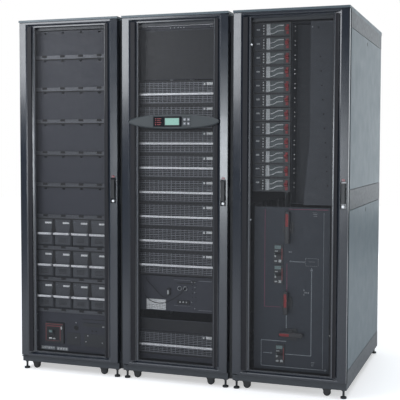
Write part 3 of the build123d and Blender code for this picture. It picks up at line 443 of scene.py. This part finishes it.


# ---------------------------------------------------------------- doors: marks, dots, painted edge highlights and painted groove shade
def door_details(cabinet):
    name = NAMES[cabinet]
    leaf = f"{name}_door_leaf"
    handle_x, _, handle_z = local_box(f"{name}_door_handle", cabinet)
    middle = sum(handle_x) / 2
    mark = Piece(cabinet)
    mark.ring(middle - 2, handle_z[1] + 17, 5.4, 3.4, (-1.0, 6.0))
    mark.box((middle + 5, middle + 8), (-0.5, 6.0), (handle_z[1] + 12, handle_z[1] + 20))
    mark.done(f"{name}_lock_mark", "led_red", leaf)
    eye = Piece(cabinet)
    eye.dish(middle - 2, handle_z[1] + 17, 3.0, (-1.2, 6.0))
    eye.done(f"{name}_lock_eye", "label_dim", leaf)
    sheet_z = local_box(f"{name}_door_mesh", cabinet)[2]
    # Thin light-grey strips along the window's side edges: painted highlight, standing in for light caught
    # on the window panel's rounded edges.
    highlight_strips = Piece(cabinet)
    highlight_strips.box((85, 90), (16.6, 18.6), (sheet_z[0] - 6, sheet_z[1] + 6))
    highlight_strips.box((531, 533.5), (16.6, 18.6), (sheet_z[0] - 6, sheet_z[1] + 6))
    highlight_strips.done(f"{name}_window_painted_highlight", "clip_and_highlight_grey", leaf, bevel=0.5)
    # Near-black strips over the sloped groove beside each stile: painted shade, standing in for the dark of
    # the grooves.
    shade_strips = Piece(cabinet)
    for x in ((54, 80), (537, 554)):
        shade_strips.box(x, (-0.7, 0.4), (sheet_z[0] - 4, sheet_z[1] + 4))
        shade_strips.box((x[0] + 3, x[0] + 5), (-1.1, 0.4), (sheet_z[0] - 4, sheet_z[1] + 4))
    shade_strips.done(f"{name}_window_painted_shade", "shade_black", leaf, bevel=0.3)


for cabinet in (LEFT, CENTRE, RIGHT):
    door_details(cabinet)


# ---------------------------------------------------------------- battery cabinet
def battery_details():
    shelves = local_box("battery_shelves", LEFT)
    modules = local_box("battery_modules", LEFT)
    pitch_x, pitch_z = 114.0, 180.0
    face = modules[1][0]
    first_x = modules[0][0] + 54
    first_z = modules[2][0]
    labels, panels, clips, tabs, buttons, vents, side_shade = (Piece(LEFT) for _ in range(7))
    for row in range(3):
        for column in range(4):
            x, z = first_x + column * pitch_x, first_z + row * pitch_z
            labels.box((x + 2, x + 42), (face - 0.8, face + 1), (z + 128, z + 138))
            panels.prism([(x - 40, z + 86), (x + 40, z + 86), (x + 44, z + 122), (x - 44, z + 122)],
                         (face - 0.9, face + 1))
            panels.prism([(x - 30, z + 18), (x + 30, z + 18), (x + 34, z + 56), (x - 34, z + 56)],
                         (face - 1.2, face + 1))
            for step in range(4):
                vents.box((x - 24, x + 24), (face - 1.5, face + 1), (z + 24 + 7 * step, z + 27 + 7 * step))
            buttons.dish(x - 36, z + 140, 3.0, (face - 1.6, face + 1), 14)
            # Near-black tapers on the module faces at each boundary between modules: painted shade where the
            # modules' sides fall into shadow.
            edge = x + pitch_x / 2
            side_shade.prism([(edge - 15, z + 80), (edge + 15, z + 80), (edge + 5, z + 152), (edge - 5, z + 152)],
                       (face - 1.3, face + 1))
    labels.done("battery_labels", "label_paper", bevel=0.3)
    panels.done("battery_front_panels", "battery_case", bevel=0.6)
    vents.done("battery_front_ribs", "black_plastic")
    side_shade.done("battery_side_shadows", "hole_black")
    buttons.done("battery_latch_buttons", "key_plastic")
    lip = shelves[1][0]
    for shelf in range(9):
        top = shelves[2][0] + 20 + shelf * pitch_z
        for column in range(4):
            x = first_x + column * pitch_x + 6
            clips.box((x - 9, x + 9), (lip - 1.6, lip + 0.5), (top - 17, top - 13))
            tabs.box((x - 14, x + 14), (lip - 2.4, lip + 0.5), (top - 11, top + 1))
        if shelf:
            tabs.box((64, 546), (lip - 0.4, lip + 0.5), (top - 26, top - 20))
    clips.done("shelf_latch_clips", "clip_and_highlight_grey", bevel=0.4)
    tabs.done("shelf_latch_tabs", "hole_black", bevel=0.4)


battery_details()


def disconnect_details():
    breaker = Piece(LEFT)
    x, z, y = (132.0, 250.0), (158.0, 274.0), 44.0
    band = 3.2
    breaker.box((x[0] + 5, x[1] - 5), (y - 0.7, y + 1), (z[1] - 9, z[1] - 9 + band))
    breaker.box((x[0] + 14, x[1] - 16), (y - 0.7, y + 1), (z[1] - 21, z[1] - 17))
    breaker.box((x[0] + 5, x[0] + 5 + band), (y - 0.7, y + 1), (z[0] + 12, z[1] - 9))
    breaker.box((x[1] - 22, x[1] - 22 + band), (y - 0.7, y + 1), (z[0] + 16, z[1] - 22))
    breaker.box((x[0] + 14, x[1] - 26), (y - 0.7, y + 1), (z[0] + 12, z[0] + 14))
    breaker.done("breaker_red_border", "led_red")
    window = Piece(LEFT)
    window.box((x[0] + 14, x[1] - 28), (y - 0.5, y + 1), (z[0] + 18, z[1] - 26))
    window.done("breaker_window", "black_plastic", bevel=0.4)
    small = Piece(LEFT)
    small.box((x[1] - 17, x[1] - 9), (y - 1.2, y + 1), (z[1] - 36, z[1] - 20))
    small.box((x[0] + 26, x[0] + 44), (y - 1.0, y + 1), (z[0] + 22, z[0] + 30))
    small.box((x[0] + 50, x[0] + 66), (y - 1.0, y + 1), (z[0] + 22, z[0] + 28))
    small.done("breaker_white_marks", "label_paper", bevel=0.3)
    face = 56.0
    strip = Piece(LEFT)
    strip.box((100, 190), (face - 0.7, face + 1), (114, 134))
    strip.box((200, 274), (face - 0.7, face + 1), (114, 134))
    strip.done("disconnect_labels", "label_dim", bevel=0.3)
    marks = Piece(LEFT)
    for i in range(6):
        marks.box((106 + 14 * i, 114 + 14 * i), (face - 1.0, face), (119 + 3 * (i % 3), 129))
    for i in range(4):
        marks.box((206 + 17 * i, 216 + 17 * i), (face - 1.0, face), (118, 130))
    marks.done("disconnect_label_marks", "label_paper")
    sockets = Piece(LEFT)
    sockets.dish(325, 252, 12.4, (face - 1, face + 6), 24)
    for hole_x in (428, 452):
        sockets.dish(hole_x, 240, 4.6, (face - 0.6, face + 4), 16)
    sockets.box((362, 508), (face - 0.5, face + 1), (303, 307))
    sockets.box((372, 508), (face - 0.5, face + 1), (284, 286))
    sockets.done("disconnect_sockets", "hole_black")
    plates = Piece(LEFT)
    plates.box((366, 508), (face - 0.9, face + 0.5), (262, 282))
    plates.ring(325, 252, 16.0, 12.6, (face - 2.0, face + 1))
    plates.box((268, 352), (face - 0.8, face + 0.5), (150, 222))
    plates.box((376, 520), (face - 0.8, face + 0.5), (150, 222))
    plates.done("disconnect_plates", "breaker_plastic", bevel=0.6)
    leds = Piece(LEFT)
    for led_x, led_z in ((325, 282), (493, 268), (500, 268), (400, 212), (325, 196), (490, 176), (388, 176)):
        leds.dish(led_x, led_z, 3.2, (face - 2.0, face + 1), 12)
    leds.done("disconnect_lamps", "strip_grey")
    screws = Piece(LEFT)
    for sx in (76, 534):
        for sz in (124, 220, 318):
            screws.screw(sx, sz, face)
    screws.done("disconnect_screws", "zinc_steel")
    cap = Piece(LEFT)
    cap.box((170, 190), (face - 36, face - 30), (222, 236))
    cap.done("battery_lever_cap", "teal_plastic", "battery_breaker_toggle", bevel=1.5)


disconnect_details()


# ---------------------------------------------------------------- power-module cabinet
def grille(piece, ribs, low, face):
    """Louvres and upright ribs inside one module's sunken intake."""
    x = (80.0, 504.0)
    z = (low + 9, low + 122)
    for step in range(12):
        height = z[0] + 3 + step * 9.4
        piece.box(x, (face - 0.5 + 0.9 * (step % 2), face + 3), (height, height + 2.4))
    for step in range(17):
        rib = x[0] + 6 + step * 25.7
        ribs.box((rib, rib + 2.2), (face + 0.6, face + 3), z)


def power_details():
    modules = local_box("power_modules", CENTRE)
    face = modules[1][0]
    bars, ribs, bright, labels, dots, screws, cups = (Piece(CENTRE) for _ in range(7))
    pitch = 133.0
    first = modules[2][1] + 2 - 8 * pitch
    lows = [first + pitch * i for i in range(8)] + [modules[2][0]]
    for low in lows:
        grille(bars, ribs, low, face)
        for x in (262.0, 452.0):
            bright.box((x, x + 3), (face - 0.6, face + 3), (low + 8, low + 122))
        bright.box((80, 504), (face - 0.7, face + 3), (low + 8, low + 10.5))
        bright.box((80, 504), (face - 0.7, face + 3), (low + 96, low + 98))
        labels.box((470, 503), (face - 1.0, face + 3), (low + 104, low + 117))
        labels.box((452, 461), (face - 1.0, face + 3), (low + 104, low + 115))
        dots.box((470, 500), (face - 1.1, face + 3), (low + 70, low + 73))
        for sx in (70, 540):
            screws.screw(sx, low + 112, face, 3.4)
            screws.screw(sx, low + 18, face, 3.4)
        cups.box((510, 541), (face - 0.6, face + 1), (low + 80, low + 118))
    bars.done("intake_louvres", "grille_steel")
    ribs.done("intake_ribs", "grille_steel")
    bright.done("intake_frames", "shelf_steel")
    labels.done("power_module_labels", "label_paper", bevel=0.4)
    dots.done("power_module_lines", "label_dim")
    screws.done("power_module_screws", "zinc_steel")
    cups.done("power_module_latches", "black_plastic", bevel=1.0)


power_details()


def connection_details():
    base = local_box("connection_unit", CENTRE)[1][0] + 6
    plate = Piece(CENTRE)
    plate.box((118, 232), (base - 1.2, base + 1), (386, 444))
    plate.done("connection_label_plate", "label_paper", bevel=0.6)
    pins = Piece(CENTRE)
    for i in range(11):
        for j in range(3):
            pins.dish(126 + i * 9.6, 394 + j * 9.0, 2.0, (base - 2.0, base), 10)
    pins.done("connection_label_pins", "black_plastic")
    rings = Piece(CENTRE)
    for x in (316, 348):
        rings.ring(x, 512, 12.6, 9.6, (base - 7.4, base - 5.5))
    rings.done("connector_rings", "zinc_steel", bevel=0.4)
    blocks = Piece(CENTRE)
    blocks.box((296, 384), (base - 1.4, base + 1), (536, 542))
    blocks.box((300, 372), (base - 4.0, base + 1), (424, 446))
    blocks.box((240, 262), (base - 8.0, base + 1), (470, 508))
    blocks.box((392, 402), (base - 2.0, base + 1), (536, 556))
    blocks.done("connector_blocks", "black_plastic", bevel=0.8)
    lit = Piece(CENTRE)
    for i in range(3):
        lit.dish(318 + 18 * i, 437, 4.2, (base - 5.0, base), 12)
    studs = ((384, 548), (402, 548), (384, 438), (402, 404), (402, 520), (402, 492), (516, 404), (470, 404))
    for x, z in studs:
        lit.dish(x, z, 2.6, (base - 2.2, base), 10)
    lit.box((244, 252), (base - 9.0, base - 7), (476, 498))
    lit.done("connection_studs", "strip_grey")
    frame_lines = Piece(CENTRE)
    frame_lines.box((424, 500), (base - 4.2, base - 2), (556, 558))
    frame_lines.box((424, 500), (base - 4.2, base - 2), (396, 398))
    frame_lines.box((280, 376), (base - 1.0, base + 1), (414, 416))
    frame_lines.box((280, 376), (base - 1.0, base + 1), (556, 558))
    frame_lines.done("connection_lines", "grille_steel")
    out = base - 18
    first = [(100, 502), (114, 462), (146, 436), (195, 423), (241, 430), (276, 450), (316, 474), (348, 512)]
    second = [(118, 560), (146, 528), (182, 496), (210, 464), (240, 456), (262, 478)]
    for number, (route, sunk) in enumerate(((first, 4), (second, 0)), 1):
        points = [(route[0][0], base, route[0][1])] + [(x, out, z) for x, z in route]
        points.append((route[-1][0], base + sunk, route[-1][1]))
        lead = cable(f"patch_lead_{number}", CENTRE, points, 2.0, "dark_jacket")
        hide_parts("held_cables")


connection_details()


def centre_top_details():
    face = local_box("power_modules", CENTRE)[1][0]
    strip = Piece(CENTRE)
    strip.box((96, 524), (face - 8, face - 2), (1933, 1946))
    strip.done("top_tie_bar", "bar_aluminium", bevel=1.5)
    studs = Piece(CENTRE)
    for x in (262, 284, 306, 322, 340):
        studs.dish(x, 1924, 3.0, (face - 3, face), 12)
    for x in (492, 504):
        studs.dish(x, 1922, 2.2, (face - 3, face), 10)
    studs.done("top_studs", "strip_grey")
    edges = Piece(CENTRE)
    edges.box((118, 540), (face - 1.4, face), (1908, 1910))
    edges.box((118, 120), (face - 1.4, face), (1650, 1908))
    edges.box((260, 540), (face - 0.8, face), (1776, 1778))
    edges.done("blank_folds", "breaker_plastic")
    cover = Piece(CENTRE)
    cover.box((119, 544), (face - 1.0, face - 0.1), (1650, 1907))
    cover.box((66, 118), (face - 0.6, face - 0.1), (1648, 1914))
    cover.box((66, 544), (face - 0.8, face - 0.1), (275, 333))
    cover.done("centre_cover_faces", "module_paint", bevel=0.5)


centre_top_details()


def display_details():
    leaf = "centre_door_leaf"
    _, (front, _), (low, high) = local_box("display_window", CENTRE)
    lcd = Piece(CENTRE)
    lcd.box((262, 342), (front - 0.5, front + 1), (low + 8, high - 8))
    lcd.done("status_screen", "lcd_glow", leaf, bevel=0.6)
    rim = Piece(CENTRE)
    for x in ((258, 262), (342, 346)):
        rim.box(x, (front - 0.9, front + 1), (low + 4, high - 4))
    for z in ((low + 4, low + 8), (high - 8, high - 4)):
        rim.box((258, 346), (front - 0.9, front + 1), z)
    rim.done("screen_rim", "black_plastic", leaf, bevel=0.5)
    lamps = Piece(CENTRE)
    for row in range(4):
        z = low + 10 + row * 10.5
        lamps.dish(207, z, 2.2, (front - 1.0, front + 0.6), 12)
        lamps.box((214, 236 + 5 * (row % 2)), (front - 0.5, front + 0.6), (z - 1.2, z + 1.2))
    lamps.done("status_lamps", "led_red", leaf)
    dash = Piece(CENTRE)
    bezel_front = local_box("display_bezel", CENTRE)[1][0]
    dash.box((118, 158), (bezel_front + 0.3, bezel_front + 2.5), (1416, 1418))
    dash.dish(432, 1422, 2.5, (bezel_front + 0.2, bezel_front + 2.5), 12)
    dash.done("bezel_marks", "ink_grey", leaf)
    for index, (x, z) in enumerate(((374, 1407), (374, 1429), (396, 1407), (396, 1429)), 1):
        glyph = Piece(CENTRE)
        key = local_box(f"display_key_{index}", CENTRE)
        kx, kz, ky = sum(key[0]) / 2, sum(key[2]) / 2, key[1][0]
        if index == 1:
            glyph.prism([(kx - 3.5, kz + 2), (kx, kz - 3), (kx + 3.5, kz + 2)], (ky - 0.01, ky + 0.4))
        elif index == 2:
            glyph.prism([(kx - 3.5, kz - 2), (kx + 3.5, kz - 2), (kx, kz + 3)], (ky - 0.01, ky + 0.4))
        elif index == 3:
            glyph.ring(kx, kz, 3.6, 2.4, (ky - 0.01, ky + 0.4), 18)
        else:
            glyph.box((kx - 3, kx + 3), (ky - 0.01, ky + 0.4), (kz - 1, kz + 1))
        glyph.done(f"key_mark_{index}", "label_paper", f"key_{index}")


display_details()


# ---------------------------------------------------------------- distribution cabinet
def outgoing_details():
    modules = local_box("outgoing_modules", RIGHT)
    face = modules[1][0]
    pitch = (modules[2][1] - modules[2][0] + 3) / 12
    tick, comb, comb_dots, strip, field, rockers, plates, studs = (Piece(RIGHT) for _ in range(8))
    for row in range(12):
        middle = modules[2][0] - 1.5 + (row + 0.5) * pitch
        low, high = middle - 31, middle + 31
        tick.box((106, 124), (face - 0.8, face + 0.5), (middle + 8 - row, middle + 16 - row))
        plates.box((92, 128), (face - 0.5, face + 0.5), (low, high))
        comb.box((134, 154), (face + 0.5, face + 4.5), (low + 3, high - 3))
        for i in range(4):
            comb_dots.dish(144, low + 10 + 14 * i, 4.2, (face - 0.8, face + 2), 12)
        strip.box((157, 179), (face + 4, face + 12.5), (low + 1, high - 1))
        field.box((180, 251), (face + 8, face + 12.5), (low + 1, high - 1))
        rockers.box((265, 279), (face - 2.2, face + 0.5), (middle + 10, middle + 24))
        rockers.box((265, 279), (face - 2.2, face + 0.5), (middle - 26, middle - 10))
        for z in (middle + 12, middle - 10):
            studs.dish(310, z, 2.8, (88, 92), 12)
    plates.done("outgoing_end_plates", "mimic_paint")
    tick.done("outgoing_ticks", "strip_grey")
    comb.done("outgoing_combs", "black_plastic", bevel=0.6)
    comb_dots.done("outgoing_terminals", "strip_grey")
    strip.done("outgoing_strips", "strip_grey", bevel=0.8)
    field.done("outgoing_fields", "green_grey", bevel=0.6)
    studs.done("trough_studs", "label_paper")
    rockers.done("outgoing_rocker_frames", "red_plastic", bevel=1.0)
    for row in range(12):
        middle = modules[2][0] - 1.5 + (row + 0.5) * pitch
        for n, z in enumerate((middle + 12, middle - 14)):
            curl = [(252, 9), (232, 9), (214, 6), (202, -3), (184, -8), (156, -8)]
            route = [(x, face + 6, z + rise) for x, rise in curl]
            tail = cable(f"outgoing_wire_{row + 1:02d}_{n + 1}", RIGHT, route, 2.4, "cable_jacket")
            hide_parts("held_cables")


outgoing_details()


def trough_details():
    plate = local_box("wiring_trough", RIGHT)
    face = plate[1][0]
    line = Piece(RIGHT)
    line.box((428, 522), (face - 1.4, face + 0.5), (1921, 1925))
    line.done("trough_cover_fold", "shelf_steel")
    screws = Piece(RIGHT)
    for x, z in ((516, 1900), (516, 1460), (516, 1020), (404, 1900)):
        screws.screw(x, z, face, 3.6)
    screws.done("trough_screws", "zinc_steel")


trough_details()


def mimic_details():
    panel = local_box("mimic_panel", RIGHT)
    face = panel[1][0]
    deep = (face - 0.7, face + 0.5)

    def upright(piece, x, z, width=3.0):
        piece.box((x - width / 2, x + width / 2), deep, (min(z), max(z)))

    def level(piece, x, z, width=3.0):
        piece.box((min(x), max(x)), deep, (z - width / 2, z + width / 2))

    purple = Piece(RIGHT)
    level(purple, (286, 497), 962)
    upright(purple, 160, (442, 960))
    level(purple, (160, 250), 444)
    upright(purple, 280, (532, 676))
    purple.done("bus_lines_red", "ink_purple")
    grey = Piece(RIGHT)
    level(grey, (292, 377), 688, 4)
    upright(grey, 412, (198, 651), 4)
    level(grey, (272, 412), 197, 4)
    upright(grey, 279, (335, 404), 4)
    level(grey, (143, 279), 264)
    upright(grey, 143, (126, 264))
    level(grey, (143, 492), 127)
    level(grey, (154, 196), 197, 4)
    upright(grey, 474, (132, 946), 1.6)
    for tip_x, tip_z, dx, dz in ((292, 688, 10, 6), (205, 197, -10, 6), (497, 127, -12, 6)):
        head = [(tip_x, tip_z), (tip_x + dx, tip_z - dz), (tip_x + dx, tip_z + dz)]
        grey.prism(head if dx > 0 else head[::-1], deep)
    grey.prism([(404, 642), (420, 642), (412, 660)], deep)
    grey.done("bus_lines_grey", "ink_grey")
    dashes = Piece(RIGHT)
    for i in range(6):
        level(dashes, (380 + i * 11, 386 + i * 11), 708, 2)
        level(dashes, (380 + i * 11, 386 + i * 11), 668, 2)
    for i in range(4):
        upright(dashes, 379, (671 + i * 10, 676 + i * 10), 2)
        upright(dashes, 446, (671 + i * 10, 676 + i * 10), 2)
    for i in range(3):
        level(dashes, (414 + i * 3, 438), 946 - i * 9, 2.5)
        level(dashes, (414, 432 - i * 3), 162 - i * 8, 2.5)
    marks = ((292, 738), (302, 738), (378, 528), (386, 528), (396, 528),
             (222, 744), (226, 636), (372, 540), (372, 516))
    for x, z in marks:
        dashes.box((x - 2.5, x + 2.5), deep, (z - 4, z + 4))
    level(dashes, (394, 428), 690, 2)
    dashes.done("mimic_marks", "label_dim")
    lit, reds, teal = (Piece(RIGHT) for _ in range(3))
    for x, z in ((234, 725), (235, 617), (246, 196)):
        front = face - 5
        lit.box((x - 20, x - 6), (front - 0.8, front + 1), (z - 42, z - 34))
        lit.box((x - 20, x - 12), (front - 0.8, front + 1), (z - 18, z - 8))
        lit.box((x + 2, x + 16), (front - 0.9, front + 1), (z - 44, z - 30))
        lit.box((x - 18, x - 2), (front - 0.8, front + 1), (z + 12, z + 18))
        reds.box((x + 18, x + 22), (front - 1.0, front + 1), (z - 30, z + 34))
        teal.box((x - 20, x + 14), (front - 0.7, front + 1), (z + 26, z + 44))
        teal.box((x - 20, x - 10), (front - 0.7, front + 1), (z - 4, z + 8))
    lit.done("mimic_breaker_labels", "strip_grey", bevel=0.4)
    reds.done("mimic_breaker_flags", "led_red")
    teal.done("mimic_breaker_caps", "teal_plastic", bevel=0.4)
    for body, x, z, z0, z1 in (("input_switch", 286, 866, 24, 74), ("output_switch", 280, 470, -4, 50)):
        insert = Piece(RIGHT)
        top = face - 6.3 - 28
        insert.box((x - 8, x + 8), (top - 0.6, top + 3), (z + z0 - 18, z + z1))
        insert.done(f"{body}_insert", "red_plastic", body, bevel=2.5)
    insert = Piece(RIGHT)
    top = face - 6.3 - 28
    insert.box((308 - 58, 308 - 6), (top - 0.6, top + 3), (304 - 8, 304 + 8))
    insert.done("bypass_switch_insert", "red_plastic", "bypass_switch", bevel=2.5)
    screws = Piece(RIGHT)
    for x in (110, 498):
        for z in (120, 400, 680, 960):
            screws.screw(x, z, face, 3.4)
    screws.done("mimic_screws", "black_steel")


mimic_details()


def rail_studs():
    """The small bright studs at the hinge side of the distribution door's window."""
    studs = Piece(RIGHT)
    studs.dish(97, 1814, 5.0, (14, 19), 16)
    studs.done("upper_window_stud", "white_plastic", "right_door_leaf")
    lower = Piece(RIGHT)
    lower.dish(97, 905, 4.0, (14, 19), 16)
    lower.done("lower_window_stud", "label_dim", "right_door_leaf")


rail_studs()


# ---------------------------------------------------------------- roof and floor-level details
def roof_details(cabinet):
    top = cad_box[1].z / MM
    screws = Piece(cabinet)
    for x in (20, 590):
        for y in (60, 540, 1040):
            turns = [math.tau * i / 12 for i in range(12)]
            points = [(x + 5 * math.cos(turn), y + 5 * math.sin(turn)) for turn in turns]
            n = len(points)
            solid = [(px, py, top - 1.5) for px, py in points] + [(px, py, top - 0.2) for px, py in points]
            faces = [tuple(range(n))[::-1], tuple(range(n, 2 * n))]
            faces += [(i, (i + 1) % n, (i + 1) % n + n, i + n) for i in range(n)]
            screws.solid(solid, faces)
    screws.done(f"{NAMES[cabinet]}_roof_screws", "zinc_steel")


def side_latch_details():
    """A pull tab under each side panel's dial latch, and the latch's rim."""
    (_, right), (front, back), (low, high) = local_box("side_panel_latches", RIGHT)
    middle = (front + back) / 2
    tabs, rims = Piece(RIGHT), Piece(RIGHT)
    for z in (low + 11.7, high - 11.7):
        tabs.box((right - 3.2, right - 0.3), (middle - 11, middle + 11), (z - 56, z - 8))
        rims.box((right - 3.0, right - 1.0), (middle - 16, middle + 16), (z + 13, z + 17))
    tabs.done("side_latch_tabs", "black_plastic", bevel=0.8)
    rims.done("side_latch_rims", "black_plastic", bevel=0.5)


side_latch_details()


def rear_filter(cabinet):
    """A pleated dust filter behind the rear cover's slots."""
    y = local_box("rear_panels", cabinet)[1][1] - 4
    low, high = local_box("rear_panels", cabinet)[2]
    filter_mat = Piece(cabinet)
    step = 8
    for i in range(int((570 - 40) / step)):
        x = 40 + i * step
        filter_mat.prism([(x, low + 40), (x + step, low + 40), (x + step, high - 40), (x, high - 40)],
                         (y - 4 - 3 * (i % 2), y - 1 - 3 * (i % 2)))
    filter_mat.done(f"{NAMES[cabinet]}_rear_filter", "hole_black")


def base_tray(cabinet):
    """The closed steel bottom inside a cabinet, folded up at the front and ribbed along its depth."""
    tray = Piece(cabinet)
    tray.box((6, 604), (38, 1092), (76, 78))
    tray.box((40, 570), (39, 41), (78, 102))
    for i in range(6):
        x = 90 + i * 86
        tray.box((x, x + 8), (60, 1070), (78, 80.5))
    tray.done(f"{NAMES[cabinet]}_base_tray", "black_steel", bevel=0.6)


for cabinet in (LEFT, CENTRE, RIGHT):
    roof_details(cabinet)
    rear_filter(cabinet)
    base_tray(cabinet)


# ---------------------------------------------------------------- studio
def lamp(name, where, target, size, power, colour=(1, 1, 1), spread=180):
    data = bpy.data.lights.new(name, "AREA")
    data.shape = "RECTANGLE"
    data.size, data.size_y = size
    data.energy = power
    data.color = colour
    data.spread = math.radians(spread)
    made = bpy.data.objects.new(name, data)
    made.location = where
    made.visible_camera = False
    made.rotation_euler = (Vector(target) - Vector(where)).to_track_quat("-Z", "Y").to_euler()
    bpy.context.scene.collection.objects.link(made)
    return made


def floor():
    mesh = bpy.data.meshes.new("studio_floor")
    half = 14.0
    steps = 8
    stops = [-half + 2 * half * i / steps for i in range(steps + 1)]
    points = [(x, y, 0) for y in stops for x in stops]
    row = steps + 1
    faces = [(j * row + i, j * row + i + 1, (j + 1) * row + i + 1, (j + 1) * row + i)
             for j in range(steps) for i in range(steps)]
    mesh.from_pydata(points, [], faces)
    paper, tree, shader, where = nodes_of("studio_floor")
    shader.inputs["Base Color"].default_value = (0.80, 0.80, 0.81, 1)
    shader.inputs["Roughness"].default_value = 0.7
    reach = tree.nodes.new("ShaderNodeVectorMath")
    reach.operation = "LENGTH"
    tree.links.new(where, reach.inputs[0])
    rise = tree.nodes.new("ShaderNodeMapRange")
    rise.inputs["From Min"].default_value = 1.2
    rise.inputs["From Max"].default_value = 5.0
    rise.inputs["To Min"].default_value = 0.5
    rise.inputs["To Max"].default_value = 0.95
    tree.links.new(reach.outputs["Value"], rise.inputs["Value"])
    shader.inputs["Emission Color"].default_value = (1, 1, 1, 1)
    ray = tree.nodes.new("ShaderNodeLightPath")
    shown = tree.nodes.new("ShaderNodeMapRange")
    shown.inputs["To Min"].default_value = 0.2
    tree.links.new(ray.outputs["Is Camera Ray"], shown.inputs["Value"])
    lit = tree.nodes.new("ShaderNodeMath")
    lit.operation = "MULTIPLY"
    tree.links.new(rise.outputs["Result"], lit.inputs[0])
    tree.links.new(shown.outputs["Result"], lit.inputs[1])
    tree.links.new(lit.outputs["Value"], shader.inputs["Emission Strength"])
    mesh.materials.append(paper)
    made = bpy.data.objects.new("studio_floor", mesh)
    bpy.context.scene.collection.objects.link(made)


floor()
lamp("strip_left", (-2.35, -3.05, 2.45), (-0.5, -0.5, 1.5), (2.6, 1.5), 84, (0.93, 0.96, 1.0))
lamp("strip_front", (0.25, -6.6, 1.15), (0.1, -0.5, 1.0), (2.4, 1.0), 100, (0.90, 0.95, 1.0))
lamp("overhead", (0.0, -0.6, 5.6), (0.0, -0.4, 0.0), (6.0, 6.0), 270, (0.92, 0.95, 1.0))
lamp("side_right", (4.4, 0.4, 0.55), (0.9, 0.1, 0.6), (3.0, 1.1), 84, (0.86, 0.96, 1.0))
lamp("back_wall", (0.6, 5.4, 2.0), (0.3, 0.5, 1.0), (5.0, 3.0), 75, (0.92, 0.97, 1.0))

world = bpy.data.worlds.new("studio_world")
bpy.context.scene.world = world
world.use_nodes = True
tree = world.node_tree
ambient = tree.nodes["Background"]
ambient.inputs["Color"].default_value = (0.78, 0.88, 1.0, 1)
ambient.inputs["Strength"].default_value = 0.09
paper = tree.nodes.new("ShaderNodeBackground")
paper.inputs["Color"].default_value = (1, 1, 1, 1)
paper.inputs["Strength"].default_value = 1.0
ray = tree.nodes.new("ShaderNodeLightPath")
either = tree.nodes.new("ShaderNodeMixShader")
tree.links.new(ray.outputs["Is Camera Ray"], either.inputs["Fac"])
tree.links.new(ambient.outputs["Background"], either.inputs[1])
tree.links.new(paper.outputs["Background"], either.inputs[2])
tree.links.new(either.outputs["Shader"], tree.nodes["World Output"].inputs["Surface"])
bpy.context.scene.view_settings.view_transform = "Standard"
